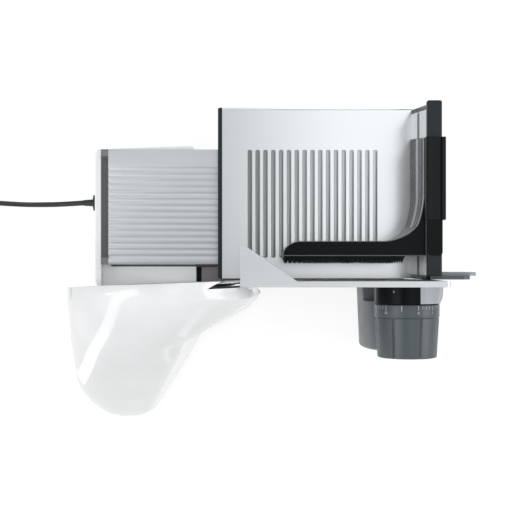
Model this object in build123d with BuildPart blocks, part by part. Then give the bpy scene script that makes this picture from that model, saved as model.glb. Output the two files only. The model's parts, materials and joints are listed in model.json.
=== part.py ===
"""Household food slicer: toed blade in a moulded tower, sliding steel carriage, screw-set stop plate."""
import os
from math import acos, atan2, cos, pi, radians, sin, sqrt, tan

from build123d import *

os.makedirs("parts", exist_ok=True)

# Frame: X along the carriage travel, Y towards the food side, Z up, origin on the table under the middle.
# Lengths are millimetres. A pair is a (low, high) span.

# General fits
joint_gap = 0.2
slide_gap = 0.4
bearing_gap = 0.05
shell_wall = 2.5
foot_height = 3.0
foot_radius = 8.0

# Cutting plane and blade
cut_y = -12.6
toe_pivot_x = 1.0
toe_angle = 2.0
blade_radius = 85.0
blade_z = 145.0
blade_thickness = 1.5
blade_dish = 2.0
blade_ring = 23.0
blade_bevel = 11.0
blade_edge = 0.25
blade_bore = 9.0
scallop_radius = 6.0
scallop_depth = 0.8
scallop_count = 60
blade_gap = 1.3
blade_floor = 2.0

# Base housing and ribbed table
base_x = (-164.0, -67.0)
base_y = (-19.2, 112.7)
base_skew = 3.2
base_top = 70.0
base_corner = 6.0
table_top = 72.0
table_thickness = 5.0
table_x = (-150.6, 135.0)
table_y = (1.6, 112.0)
table_seat_gap = 0.2
rib_front = 8.5
rib_pitch = 6.0
rib_groove = 2.2
rib_depth = 1.5
rib_count = 15
strip_width = 7.0
strip_cap = 9.0
strip_drop = 1.2
base_boss_radius = 4.5
base_boss_inset = (10.0, 39.0, 9.0)
screw_radius = 1.6
screw_head_radius = 3.0
screw_head_height = 1.8

# Guide rod, channel and carriage runner
guide_y = 0.5
guide_z = 40.0
guide_radius = 4.0
guide_x = (-158.0, 141.0)
slot_half_width = 0.9
runner_x = (30.0, 90.0)
runner_y = (-7.0, 6.5)
runner_z = (33.0, 47.0)
runner_gap = 2.0
web_thickness = 1.0
channel_x = (-66.6, 142.0)
channel_y = (-17.6, 10.0)
channel_floor_z = 6.0
channel_wall = 2.0
channel_front_top = 40.0
channel_end_top = 30.0
cover_end = -6.0
cover_drop = 2.0

# Carriage
carriage_x = (-41.0, 140.0)
carriage_y = (-11.8, 149.0)
carriage_top = 78.0
carriage_sheet = 1.5
carriage_rib_count = 17
carriage_rib_pitch = 7.48
carriage_rib_width = 3.8
carriage_rib_height = 1.2
carriage_rib_x = 45.3
carriage_rib_y = (8.0, 111.0)
trim_width = 4.0
trim_height = 4.5
lip_width = 2.4
wall_thickness = 3.0
wall_top = 166.0
wall_lean = 9.0
wall_groove_z = (113.0, 127.0)
wall_groove_depth = 1.0
rail_width = 13.0
rail_top = 172.0
rail_skirt = 16.0
rail_rear = 143.4
cap_depth = 4.0
guard_reach = 46.0
guard_thickness = 3.2
guard_bottom = 92.0
guard_top = 160.0
guard_edge_reach = 36.0
guard_edge_top = 169.0
guard_corner = 9.0
pad_size = (14.0, 12.0)

# Pusher: its hollow curve is given by offsets from the corner where the arm meets the panel
pusher_arm_x = 15.6
pusher_arm_y = (9.2, 21.6)
pusher_sleeve_y = (40.0, 110.0)
pusher_z = (81.0, 165.0)
pusher_panel = 3.2
pusher_hollow = [(-34.0, 0.0), (-19.2, 3.7), (-9.5, 9.8), (-3.8, 18.4), (0.0, 40.4)]
pusher_tip = 16.0
panel_groove_z = [(116.0, 120.0), (146.0, 152.0)]
panel_groove_depth = 0.8
sleeve_wall = 2.4
tooth_length = 5.2
tooth_pitch = 4.2
tooth_plate = 1.6
tooth_x = (16.5, 122.0)
tooth_row_height = 2.0
tooth_row_count = 6

# Stop plate, dial and foot
plate_thickness = 5.0
plate_right = 155.0
plate_z = (66.0, 204.0)
plate_travel = 13.0
plate_tab_x = 98.0
plate_tab_bottom = 44.0
plate_corner = 4.0
finger_x = 27.0
finger_y = 17.0
finger_thickness = 1.6
dial_x = 132.5
dial_z = 100.0
dial_radius = 30.0
dial_front_radius = 27.5
dial_length = 49.5
dial_scale = 12.0
dial_cap = 3.0
grip_count = 7
grip_groove = 1.0
boss_radius = 32.0
boss_wall = 3.5
boss_length = 17.3
boss_flare = 9.0
journal_length = 24.0
journal_wall = 3.0
stem_thickness = 3.0
stem_width = 20.0
feed_radius = 6.0
nut_radius = 10.0
nut_length = 12.0
clip_width = 1.6
guide_pin_radius = 4.0
guide_pin_z = 54.0
guide_pin_spread = 40.0
guide_pin_length = 42.0
foot_x = (91.0, 170.0)
foot_y = -82.0
foot_top = 64.0
foot_ledge = 38.0
foot_taper = 3.0
foot_corner = 12.0

# Tower: depth is measured behind the blade's cutting face, across runs right from the blade's leading edge
tower_bottom = 4.0
tower_wall = 2.5
gear_plate_depth = (6.5, 11.0)
hood_top_depth = -1.5
hood_side_depth = 0.8
hood_top_z = 222.0
hood_low_depth = 5.6
hood_low_z = 74.0
gear_module = 1.25
pressure_angle = 25.0
tooth_addendum = 0.8
tooth_dedendum = 1.05
gear_backlash = 0.18
spindle_teeth = 72
idler_teeth = (16, 48)
motor_teeth = 14
spindle_radius = 6.0
spindle_flange = 24.0
flange_thickness = 2.0
bush_radius = 9.0
boss_ring = 14.0
lock_radius = 17.0
lock_pin = 4.0
idler_lean = 25.0
motor_lean = 35.0
idler_pin_radius = 3.0
motor_radius = 22.0
motor_depth = (36.0, 88.0)
motor_wall = 1.5
armature_radius = 15.0
motor_shaft = 2.5
motor_post = 4.0
idler_depth = (26.0, 33.0)
spindle_gear_depth = (16.0, 24.0)

# Switch, cord gland and cord
button_x = -115.0
button_z = 30.0
button_radius = 9.0
button_travel = 3.0
button_proud = 3.2
gland_y = 62.0
gland_z = 50.0
gland_length = 14.0
cord_diameter = 5.0
coil_turn_radius = 27.5
coil_turns_across = 3
coil_layers = 2


def finish(piece, name):
    """Label a finished piece and write it to its own file."""
    piece.part.label = name
    export_step(piece.part, f"parts/{name}.step")


def block(x, y, z, mode=Mode.ADD):
    """A box given by its (low, high) span along each axis."""
    with Locations(((x[0] + x[1]) / 2, (y[0] + y[1]) / 2, (z[0] + z[1]) / 2)):
        Box(x[1] - x[0], y[1] - y[0], z[1] - z[0], mode=mode)


def bar_x(y, z, span, radius, mode=Mode.ADD):
    """A round bar along X."""
    with Locations(Location(((span[0] + span[1]) / 2, y, z), (0, 90, 0))):
        Cylinder(radius, span[1] - span[0], mode=mode)


def bar_y(x, z, span, radius, mode=Mode.ADD):
    """A round bar along Y."""
    with Locations(Location((x, (span[0] + span[1]) / 2, z), (90, 0, 0))):
        Cylinder(radius, span[1] - span[0], mode=mode)


def bar_z(x, y, span, radius, mode=Mode.ADD):
    """An upright round bar."""
    with Locations((x, y, (span[0] + span[1]) / 2)):
        Cylinder(radius, span[1] - span[0], mode=mode)


def grow(span, amount):
    """A span widened by the same amount at both ends."""
    return (span[0] - amount, span[1] + amount)


def side_sheet(outline, x, mode=Mode.ADD):
    """A sheet across X from (Y, Z) points."""
    with BuildSketch(Plane.YZ.offset(x[0])) as sheet:
        with BuildLine():
            Polyline(*outline, close=True)
        make_face()
    extrude(sheet.sketch, amount=x[1] - x[0], mode=mode)


# The tower stands turned by the toe angle, so the trailing half of the blade falls back from the food
toe = radians(toe_angle)
across_dir = Vector(cos(toe), sin(toe), 0)
depth_dir = Vector(sin(toe), -cos(toe), 0)
toe_pivot = Vector(toe_pivot_x, cut_y, 0)
blade_u = -blade_radius


def tower_point(across, depth, z):
    """A point of the turned tower frame."""
    return toe_pivot + across_dir * across + depth_dir * depth + Vector(0, 0, z)


def tower_plane(depth):
    """Plane across the blade axis: x runs along the blade, y runs up, extrusions go deeper."""
    return Plane(origin=tower_point(0, depth, 0), x_dir=across_dir, z_dir=depth_dir)


def tower_disc(across, z, depth, radius, mode=Mode.ADD):
    """A round bar along the blade axis."""
    with BuildSketch(tower_plane(depth[0])) as disc:
        with Locations((across, z)):
            Circle(radius)
    extrude(disc.sketch, amount=depth[1] - depth[0], mode=mode)


def tower_turned(across, z, outline, mode=Mode.ADD):
    """A turned piece from (radius, depth) points about an axis parallel to the blade's."""
    start = tower_point(across, 0, z)
    with BuildSketch(Plane(origin=start, x_dir=across_dir, z_dir=(0, 0, -1))) as half:
        with BuildLine():
            Polyline(*outline, close=True)
        make_face()
    revolve(half.sketch, axis=Axis(start, depth_dir), mode=mode)


# Base housing: a white shell, open underneath, with a seat for the table and a slot for the runner web.
# Its front is a step lower, under the blade, and its rear wall stands askew.
table_bottom = table_top - table_thickness
base_bottom = foot_height
base_inner_x = grow(base_x, -shell_wall)
base_inner_y = grow(base_y, -shell_wall)
base_ceiling = table_bottom - shell_wall
base_rear = base_y[1] + base_skew
front_top = blade_z - blade_radius - blade_floor
front_ceiling = front_top - shell_wall
strip_x = (table_x[0] - strip_width, table_x[0])
seat_x = (strip_x[0] - table_seat_gap, base_x[1])
seat_y = (table_y[0] - table_seat_gap, base_rear)
slot_y = (guide_y - slot_half_width, seat_y[0])
lip_back = slot_y[1] + shell_wall
rod_seat_end = guide_x[0] + 8.0
boss_edge_x = (base_inner_x[0] + base_boss_inset[0], base_inner_x[1] - base_boss_inset[0])
boss_edge_y = (base_inner_y[0] + base_boss_inset[1], base_inner_y[1] - base_boss_inset[2])
boss_places = [(x, y) for x in boss_edge_x for y in boss_edge_y]
bottom_plate_top = base_bottom + shell_wall
button_wall_gap = 0.25
gland_seat_radius = 5.0
tower_screw_x = (-150.0, -84.0)
tower_screw_z = 36.0
tower_screw_radius = 2.0

with BuildPart() as base_housing:
    with BuildSketch(Plane.XY.offset(base_bottom)):
        with BuildLine():
            Polyline(
                (base_x[0], base_y[0]),
                (base_x[1], base_y[0]),
                (base_x[1], base_rear),
                (base_x[0], base_y[1]),
                close=True,
            )
        make_face()
    extrude(amount=base_top - base_bottom)
    upright = base_housing.edges().filter_by(Axis.Z)
    fillet([*upright.group_by(Axis.X)[0], *upright.group_by(Axis.Y)[-1]], base_corner)
    fillet(base_housing.faces().sort_by(Axis.Z)[-1].edges().group_by(Axis.X)[0], shell_wall / 2)
    block(base_inner_x, (base_inner_y[0], lip_back), (base_bottom, front_ceiling), Mode.SUBTRACT)
    block(base_inner_x, (lip_back, base_inner_y[1]), (base_bottom, base_ceiling), Mode.SUBTRACT)
    block(seat_x, (base_y[0], slot_y[1]), (front_top, base_top), Mode.SUBTRACT)
    for boss_place in boss_places:
        bar_z(*boss_place, (bottom_plate_top, base_ceiling), base_boss_radius)
        bar_z(*boss_place, (bottom_plate_top, bottom_plate_top + 12.0), screw_radius, Mode.SUBTRACT)
    block((base_x[0], rod_seat_end), grow(runner_y, 1.0), grow(runner_z, runner_gap))
    bar_x(guide_y, guide_z, (guide_x[0], rod_seat_end), guide_radius, Mode.SUBTRACT)
    block(seat_x, seat_y, (table_bottom, base_top), Mode.SUBTRACT)
    block((rod_seat_end, base_x[1]), slot_y, (guide_z, base_top), Mode.SUBTRACT)
    block((base_inner_x[1], base_x[1]), grow(runner_y, runner_gap), grow(runner_z, runner_gap), Mode.SUBTRACT)
    bar_y(button_x, button_z, (base_inner_y[1], base_rear), button_radius + button_wall_gap, Mode.SUBTRACT)
    bar_x(gland_y, gland_z, (base_x[0], base_inner_x[0]), gland_seat_radius, Mode.SUBTRACT)
    for screw_x in tower_screw_x:
        bar_y(screw_x, tower_screw_z, (base_y[0], base_inner_y[0]), tower_screw_radius, Mode.SUBTRACT)
finish(base_housing, "base_housing")

# Base bottom plate, with the post that carries the switch
switch_post_x = grow((button_x, button_x), 7.0)
switch_z = grow((button_z, button_z), 8.0)
switch_y = (base_inner_y[1] - 27.0, base_inner_y[1] - 9.0)

with BuildPart() as base_bottom_plate:
    block(grow(base_inner_x, -joint_gap), grow(base_inner_y, -joint_gap), (base_bottom, bottom_plate_top))
    block(switch_post_x, (switch_y[0] + 4.0, switch_y[1] - 4.0), (bottom_plate_top, switch_z[0]))
    for boss_place in boss_places:
        bar_z(*boss_place, (base_bottom, bottom_plate_top), screw_radius, Mode.SUBTRACT)
finish(base_bottom_plate, "base_bottom_plate")

with BuildPart() as base_screws:
    for boss_place in boss_places:
        bar_z(*boss_place, (base_bottom, bottom_plate_top + 10.0), screw_radius)
        bar_z(*boss_place, (base_bottom - screw_head_height, base_bottom), screw_head_radius)
finish(base_screws, "base_screws")

# Ribbed table: an aluminium extrusion with grooves along the carriage travel
rib_middle = table_y[0] + rib_front + rib_pitch * (rib_count - 1) / 2
leg_x = (102.0, 130.0)
leg_y = (80.0, 108.0)
leg_screw_inset = 7.0
leg_screw_places = [(x, y) for x in grow(leg_x, -leg_screw_inset) for y in grow(leg_y, -leg_screw_inset)]

with BuildPart() as ribbed_table:
    block(table_x, table_y, (table_bottom, table_top))
    with BuildSketch(Plane(origin=(table_x[0], rib_middle, table_top), x_dir=(0, 1, 0), z_dir=(1, 0, 0))):
        with GridLocations(rib_pitch, 1, rib_count, 1):
            Trapezoid(rib_groove, rib_depth, 70, 70, rotation=180, align=(Align.CENTER, Align.MIN))
    extrude(amount=table_x[1] - table_x[0], mode=Mode.SUBTRACT)
    for leg_screw in leg_screw_places[::3]:
        bar_z(*leg_screw, (table_bottom, table_bottom + 3.0), screw_radius, Mode.SUBTRACT)
finish(ribbed_table, "ribbed_table")

# Dark strip that closes the left end of the extrusion, with a level pad at both ends
with BuildPart() as table_end_strip:
    block(strip_x, table_y, (table_bottom, table_top - strip_drop))
    for cap_start in (table_y[0], table_y[1] - strip_cap):
        block(strip_x, (cap_start, cap_start + strip_cap), (table_bottom, table_top))
    fillet(table_end_strip.faces().sort_by(Axis.X)[0].edges().group_by(Axis.Z)[-1], 0.5)
finish(table_end_strip, "table_end_strip")

# Chassis channel: bent sheet that joins the base to the dial foot and guards the guide rod
channel_floor = channel_floor_z + channel_wall
channel_front_y = (channel_y[0], channel_y[0] + channel_wall)
cover_x = (channel_x[0], cover_end)
cover_y = (channel_y[0], slot_y[0] - joint_gap)
cover_top = front_top - cover_drop
end_wall_y = (guide_y - 8.0, channel_y[1])
foot_screw_x = (103.0, 130.0)
foot_screw_z = 22.0

with BuildPart() as chassis_channel:
    block(channel_x, channel_y, (channel_floor_z, channel_floor))
    block(channel_x, channel_front_y, (channel_floor_z, channel_front_top))
    block(cover_x, channel_front_y, (channel_floor_z, cover_top))
    block(cover_x, cover_y, (cover_top - channel_wall, cover_top))
    block(channel_x, (channel_y[1] - channel_wall, channel_y[1]), (channel_floor_z, table_bottom))
    block((channel_x[0], channel_x[0] + channel_wall), channel_y, (channel_floor_z, channel_end_top))
    block((channel_x[1] - 2 * channel_wall, channel_x[1]), end_wall_y, (channel_floor_z, guide_z + 10.0))
    bar_x(guide_y, guide_z, (channel_x[1] - 2 * channel_wall, channel_x[1]), guide_radius, Mode.SUBTRACT)
    for screw_x in foot_screw_x:
        bar_y(screw_x, foot_screw_z, channel_front_y, screw_radius, Mode.SUBTRACT)
finish(chassis_channel, "chassis_channel")

with BuildPart() as guide_rod:
    bar_x(guide_y, guide_z, guide_x, guide_radius)
finish(guide_rod, "guide_rod")

# Rear leg under the free end of the table
leg_foot_margin = 4.0
with BuildPart() as table_leg:
    block(leg_x, leg_y, (table_bottom - 4.0, table_bottom))
    block(grow(leg_x, -leg_foot_margin), grow(leg_y, -leg_foot_margin), (foot_height, table_bottom - 4.0))
    fillet(table_leg.edges().filter_by(Axis.Z), 3.0)
    for leg_screw in leg_screw_places[::3]:
        bar_z(*leg_screw, (foot_height, table_bottom), screw_radius, Mode.SUBTRACT)
        bar_z(*leg_screw, (foot_height, table_bottom - 8.0), screw_head_radius + joint_gap, Mode.SUBTRACT)
finish(table_leg, "table_leg")

with BuildPart() as table_screws:
    for leg_screw in leg_screw_places[::3]:
        bar_z(*leg_screw, (table_bottom - 8.0, table_bottom + 3.0), screw_radius)
        bar_z(*leg_screw, (table_bottom - 8.0 - screw_head_height, table_bottom - 8.0), screw_head_radius)
finish(table_screws, "table_screws")

# Blade and its drive, all on axes parallel to the blade's
ring_inner = blade_radius - blade_ring
dish_inner = ring_inner - 4 * blade_dish
blade_back = blade_dish + blade_thickness

with BuildPart() as blade:
    blade_outline = [
        (blade_bore, blade_dish),
        (dish_inner, blade_dish),
        (ring_inner, 0),
        (blade_radius, 0),
        (blade_radius, blade_edge),
        (blade_radius - blade_bevel, blade_thickness),
        (ring_inner + blade_thickness / 2, blade_thickness),
        (dish_inner + blade_thickness / 2, blade_back),
        (blade_bore, blade_back),
    ]
    tower_turned(blade_u, blade_z, blade_outline)
    with BuildSketch(tower_plane(-1)):
        with Locations((blade_u, blade_z)):
            with PolarLocations(blade_radius + scallop_radius - scallop_depth, scallop_count):
                Circle(scallop_radius)
    extrude(amount=blade_back, mode=Mode.SUBTRACT)
finish(blade, "blade")

# Spindle: a flange that carries the blade, a hollow nose for the lock and a journal in the bush
flange_back = blade_back + flange_thickness
journal_end = spindle_gear_depth[1] + 1.0
lock_pin_end = gear_plate_depth[1] + 2.0
lock_bore = lock_pin + bearing_gap
lock_gap = 0.1
with BuildPart() as spindle:
    spindle_outline = [
        (0, lock_pin_end + 0.5),
        (lock_bore, lock_pin_end + 0.5),
        (lock_bore, blade_dish + lock_gap),
        (blade_bore - lock_gap, blade_dish + lock_gap),
        (blade_bore - lock_gap, blade_back),
        (spindle_flange, blade_back),
        (spindle_flange, flange_back),
        (spindle_radius, flange_back),
        (spindle_radius, journal_end),
        (0, journal_end),
    ]
    tower_turned(blade_u, blade_z, spindle_outline)
finish(spindle, "spindle")

# Blade lock: a flat knob with a coin slot that sits in the dish of the blade
lock_face = 0.2
with BuildPart() as blade_lock:
    lock_outline = [
        (0, lock_face),
        (lock_radius - 1.0, lock_face),
        (lock_radius, lock_face + 0.6),
        (lock_radius, blade_dish - lock_gap),
        (lock_pin, blade_dish - lock_gap),
        (lock_pin, lock_pin_end),
        (0, lock_pin_end),
    ]
    tower_turned(blade_u, blade_z, lock_outline)
    with BuildSketch(tower_plane(-1)):
        with Locations((blade_u, blade_z)):
            SlotOverall(1.5 * lock_radius, 2.6)
    extrude(amount=2.2, mode=Mode.SUBTRACT)
finish(blade_lock, "blade_lock")

# Gear centres: spindle, then idler, then motor, each leaning to the left as the train goes down
mesh_one = gear_module * (spindle_teeth + idler_teeth[0]) / 2
mesh_two = gear_module * (idler_teeth[1] + motor_teeth) / 2
idler_u = blade_u - mesh_one * sin(radians(idler_lean))
idler_z = blade_z - mesh_one * cos(radians(idler_lean))
motor_u = idler_u - mesh_two * sin(radians(motor_lean))
motor_z = idler_z - mesh_two * cos(radians(motor_lean))
spindle_to_idler = atan2(idler_z - blade_z, idler_u - blade_u)
idler_to_motor = atan2(motor_z - idler_z, motor_u - idler_u)


def involute(angle):
    """Involute function of a pressure angle in radians."""
    return tan(angle) - angle


def gear_wheel(across, z, depth, teeth, phase, bore, mode=Mode.ADD):
    """An involute wheel with one tooth centred on the phase angle."""
    pitch = gear_module * teeth / 2
    base = pitch * cos(radians(pressure_angle))
    tip = pitch + tooth_addendum * gear_module
    root = pitch - tooth_dedendum * gear_module
    half_pitch = (pi * gear_module / 2 - gear_backlash) / 2 / pitch
    flank = []
    for radius in (max(root, base), (pitch + max(root, base)) / 2, pitch, (pitch + tip) / 2, tip):
        flank.append((radius, half_pitch + involute(radians(pressure_angle)) - involute(acos(base / radius))))
    if root < base:
        flank.insert(0, (root, flank[0][1]))
    tooth = [(radius, -half) for radius, half in flank] + flank[::-1]
    points = []
    for index in range(teeth):
        turn = phase + 2 * pi * index / teeth
        for radius, half in tooth:
            points.append((across + radius * cos(turn + half), z + radius * sin(turn + half)))
    with BuildSketch(tower_plane(depth[0])) as wheel:
        with BuildLine():
            Polyline(*points, close=True)
        make_face()
        with Locations((across, z)):
            Circle(bore, mode=Mode.SUBTRACT)
    extrude(wheel.sketch, amount=depth[1] - depth[0], mode=mode)


with BuildPart() as spindle_gear:
    gear_wheel(blade_u, blade_z, spindle_gear_depth, spindle_teeth, spindle_to_idler, spindle_radius)
    with BuildSketch(tower_plane(spindle_gear_depth[0])):
        with Locations((blade_u, blade_z)):
            with PolarLocations(0.62 * gear_module * spindle_teeth / 2, 6):
                Circle(7.5)
    extrude(amount=spindle_gear_depth[1] - spindle_gear_depth[0], mode=Mode.SUBTRACT)
finish(spindle_gear, "spindle_gear")

idler_small_phase = spindle_to_idler + pi + pi / idler_teeth[0]
motor_phase = idler_to_motor + pi + pi / motor_teeth
idler_bore = idler_pin_radius + bearing_gap
with BuildPart() as idler_gear:
    gear_wheel(idler_u, idler_z, spindle_gear_depth, idler_teeth[0], idler_small_phase, idler_bore)
    gear_wheel(idler_u, idler_z, idler_depth, idler_teeth[1], idler_to_motor, idler_bore)
    hub_radius = gear_module * idler_teeth[0] / 2 - 2.0
    with BuildSketch(tower_plane(spindle_gear_depth[1])):
        with Locations((idler_u, idler_z)):
            Circle(hub_radius)
            Circle(idler_bore, mode=Mode.SUBTRACT)
    extrude(amount=idler_depth[0] - spindle_gear_depth[1])
finish(idler_gear, "idler_gear")

pin_head = 1.6
with BuildPart() as idler_pin:
    tower_disc(idler_u, idler_z, (gear_plate_depth[0], idler_depth[1] + slide_gap), idler_pin_radius)
    pin_head_depth = (idler_depth[1] + slide_gap, idler_depth[1] + slide_gap + pin_head)
    tower_disc(idler_u, idler_z, pin_head_depth, idler_pin_radius + 2.0)
finish(idler_pin, "idler_pin")

with BuildPart() as spindle_bush:
    bush_depth = (gear_plate_depth[0], spindle_gear_depth[0] - 0.6)
    tower_disc(blade_u, blade_z, bush_depth, bush_radius)
    tower_disc(blade_u, blade_z, bush_depth, spindle_radius + bearing_gap, Mode.SUBTRACT)
finish(spindle_bush, "spindle_bush")

# Motor: can, rotor and pinion
can_inner = grow(motor_depth, -motor_wall)
shaft_bore = motor_shaft + bearing_gap
post_spread = radians(60)
post_reach = motor_radius - 6.0
away = idler_to_motor
post_places = [
    (motor_u + post_reach * cos(away + turn), motor_z + post_reach * sin(away + turn))
    for turn in (-post_spread, post_spread)
]
with BuildPart() as motor_can:
    tower_disc(motor_u, motor_z, motor_depth, motor_radius)
    tower_disc(motor_u, motor_z, can_inner, motor_radius - motor_wall, Mode.SUBTRACT)
    tower_disc(motor_u, motor_z, motor_depth, shaft_bore, Mode.SUBTRACT)
    for post_u, post_z in post_places:
        tower_disc(post_u, post_z, (motor_depth[0], can_inner[0]), screw_radius, Mode.SUBTRACT)
finish(motor_can, "motor_can")

pinion_depth = (idler_depth[0] - 1.0, idler_depth[1] + 1.0)
with BuildPart() as motor_rotor:
    tower_disc(motor_u, motor_z, (pinion_depth[0], motor_depth[1]), motor_shaft)
    tower_disc(motor_u, motor_z, grow(can_inner, -6.0), armature_radius)
finish(motor_rotor, "motor_rotor")

with BuildPart() as motor_pinion:
    gear_wheel(motor_u, motor_z, pinion_depth, motor_teeth, motor_phase, motor_shaft)
finish(motor_pinion, "motor_pinion")

# Tower housing: an arch round the blade that narrows and slopes down to a rounded nose.
# Each section gives its depth, left foot, left shoulder, top, right shoulder, right foot, corner radius and
# how many walls an inner form stands back from it.
tower_sections = [
    (-2.0, -174.5, -174.5, 235.0, -4.5, -4.5, 84.5, 0),
    (25.0, -180.0, -173.0, 224.0, -31.0, -17.0, 66.0, 0),
    (40.0, -183.0, -170.5, 208.5, -57.0, -43.0, 53.0, 0),
    (53.0, -185.8, -169.5, 191.5, -77.5, -69.0, 43.0, 0),
    (80.0, -190.0, -172.5, 148.0, -92.0, -86.5, 30.0, 0),
    (105.0, -186.0, -173.0, 98.0, -107.0, -103.0, 24.0, 0),
    (122.0, -174.5, -166.5, 57.0, -118.0, -115.0, 18.0, 0),
    (130.0, -165.0, -160.0, 36.0, -124.5, -121.0, 14.0, 1),
    (134.0, -155.0, -151.0, 22.0, -133.0, -130.0, 9.0, 1.5),
]
tower_left = -200.0
tower_right = 10.0
tower_high = 260.0
nose_depth = tower_sections[-1][0]


def tower_loft(inset):
    """The tower's outer form, or the same form drawn in by a wall."""
    sections = []
    for depth, left_foot, left_shoulder, top, right_shoulder, right_foot, corner, walls in tower_sections:
        left_corner = (left_foot + inset, tower_bottom)
        right_corner = (right_foot - inset, tower_bottom)
        with BuildSketch(tower_plane(depth - walls * inset)) as section:
            with BuildLine():
                FilletPolyline(
                    left_corner,
                    (left_shoulder + inset, top - inset),
                    (right_shoulder - inset, top - inset),
                    right_corner,
                    radius=corner - inset,
                )
                Line(right_corner, left_corner)
            make_face()
        sections.append(section.sketch)
    loft(sections)


def tower_slab(depth, z, mode=Mode.INTERSECT):
    """A slab across the whole tower between two depths and two heights."""
    with BuildSketch(tower_plane(depth[0])) as slab:
        with Locations(((tower_left + tower_right) / 2, (z[0] + z[1]) / 2)):
            Rectangle(tower_right - tower_left, z[1] - z[0])
    extrude(slab.sketch, amount=depth[1] - depth[0], mode=mode)


with BuildPart() as tower_cavity:
    tower_loft(tower_wall)

hood_start = -10.0
hood_outline = [
    (hood_start, tower_high),
    (hood_top_depth, tower_high),
    (hood_top_depth, hood_top_z),
    (hood_side_depth, blade_z),
    (hood_side_depth, hood_low_z),
    (hood_low_depth, hood_low_z),
    (hood_low_depth, 0),
    (hood_start, 0),
]
hood_plane = Plane(origin=tower_point(tower_right, 0, 0), x_dir=depth_dir, z_dir=-across_dir)

with BuildPart() as tower_housing:
    tower_loft(0)
    add(tower_cavity.part, mode=Mode.SUBTRACT)
    tower_disc(blade_u, blade_z, (-3.0, blade_back + 1.0), blade_radius + blade_gap, Mode.SUBTRACT)
    with BuildSketch(hood_plane):
        with BuildLine():
            Polyline(*hood_outline, close=True)
        make_face()
    extrude(amount=tower_right - tower_left, mode=Mode.SUBTRACT)
finish(tower_housing, "tower_housing")

# Gear plate: closes the front of the tower and carries the spindle bush, the idler pin and the motor
plate_pad = 7.0
pad_reach = 7.4
with BuildPart() as gear_plate:
    tower_loft(tower_wall + joint_gap)
    tower_slab(gear_plate_depth, (0, tower_high))
    tower_disc(blade_u, blade_z, (gear_plate_depth[1], bush_depth[1]), boss_ring)
    tower_disc(blade_u, blade_z, bush_depth, bush_radius, Mode.SUBTRACT)
    tower_disc(idler_u, idler_z, (gear_plate_depth[0], gear_plate_depth[1]), idler_pin_radius, Mode.SUBTRACT)
    for post_u, post_z in post_places:
        tower_disc(post_u, post_z, (gear_plate_depth[1], motor_depth[0]), motor_post)
        tower_disc(post_u, post_z, (gear_plate_depth[0], motor_depth[0]), screw_radius, Mode.SUBTRACT)
    for screw_x in tower_screw_x:
        pad_x = grow((screw_x, screw_x), plate_pad)
        block(pad_x, (base_y[0] - pad_reach, base_y[0]), grow((tower_screw_z, tower_screw_z), plate_pad))
        bar_y(screw_x, tower_screw_z, (base_y[0] - pad_reach, base_y[0]), tower_screw_radius, Mode.SUBTRACT)
finish(gear_plate, "gear_plate")

with BuildPart() as motor_screws:
    for post_u, post_z in post_places:
        tower_disc(post_u, post_z, (gear_plate_depth[0], can_inner[0]), screw_radius)
        head_depth = (gear_plate_depth[0] - screw_head_height, gear_plate_depth[0])
        tower_disc(post_u, post_z, head_depth, screw_head_radius)
finish(motor_screws, "motor_screws")

with BuildPart() as tower_screws:
    for screw_x in tower_screw_x:
        bar_y(screw_x, tower_screw_z, (base_y[0] - pad_reach, base_inner_y[0]), tower_screw_radius)
        head_y = (base_inner_y[0], base_inner_y[0] + screw_head_height)
        bar_y(screw_x, tower_screw_z, head_y, screw_head_radius)
finish(tower_screws, "tower_screws")

with BuildPart() as tower_bottom_plate:
    tower_loft(tower_wall + joint_gap)
    tower_slab((gear_plate_depth[1], nose_depth), (0, tower_bottom + shell_wall))
finish(tower_bottom_plate, "tower_bottom_plate")

# Carriage: a stainless table that slides along X, with a side wall, a rail for the pusher and a hand guard
carriage_bottom = carriage_top - carriage_sheet
rib_length = carriage_rib_y[1] - carriage_rib_y[0]
rib_centre_y = (carriage_rib_y[0] + carriage_rib_y[1]) / 2

with BuildPart() as carriage_table:
    block(carriage_x, carriage_y, (carriage_bottom, carriage_top))
    with BuildSketch(Plane.XY.offset(carriage_top)):
        with Locations((carriage_rib_x, rib_centre_y)):
            with GridLocations(carriage_rib_pitch, 1, carriage_rib_count, 1):
                SlotOverall(rib_length, carriage_rib_width, rotation=90)
    extrude(amount=carriage_rib_height)
    rib_tops = carriage_table.faces().group_by(Axis.Z)[-1]
    fillet(rib_tops.edges(), carriage_rib_height * 0.8)
finish(carriage_table, "carriage_table")

with BuildPart() as edge_trim:
    trim_x = (carriage_x[0] - trim_width, carriage_x[0])
    trim_y = (carriage_y[0], carriage_y[1] + lip_width)
    block(trim_x, trim_y, (carriage_top - trim_height, carriage_top + 0.3))
    fillet(edge_trim.edges().filter_by(Axis.Z).group_by(Axis.X)[0], 1.8)
    fillet(edge_trim.faces().sort_by(Axis.Z)[-1].edges().group_by(Axis.X)[0], 1.2)
finish(edge_trim, "edge_trim")

with BuildPart() as rear_edge:
    lip_y = (carriage_y[1], carriage_y[1] + lip_width)
    block(carriage_x, lip_y, (carriage_top - trim_height, carriage_top + 0.6))
    fillet(rear_edge.edges().filter_by(Axis.X).group_by(Axis.Z)[-1], 0.8)
finish(rear_edge, "rear_edge")

# The wall's rear end leans forward, and a cap closes each end
wall_x = (carriage_x[1], carriage_x[1] + wall_thickness)
wall_front = carriage_y[0] + cap_depth
wall_foot = (carriage_y[1] - cap_depth, carriage_bottom)
wall_head = (wall_foot[0] - wall_lean, wall_top)
with BuildPart() as carriage_wall:
    side_sheet([(wall_front, carriage_bottom), wall_foot, wall_head, (wall_front, wall_top)], wall_x)
    groove_x = (wall_x[0], wall_x[0] + wall_groove_depth)
    block(groove_x, (wall_front, wall_foot[0]), wall_groove_z, Mode.SUBTRACT)
finish(carriage_wall, "carriage_wall")

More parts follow.
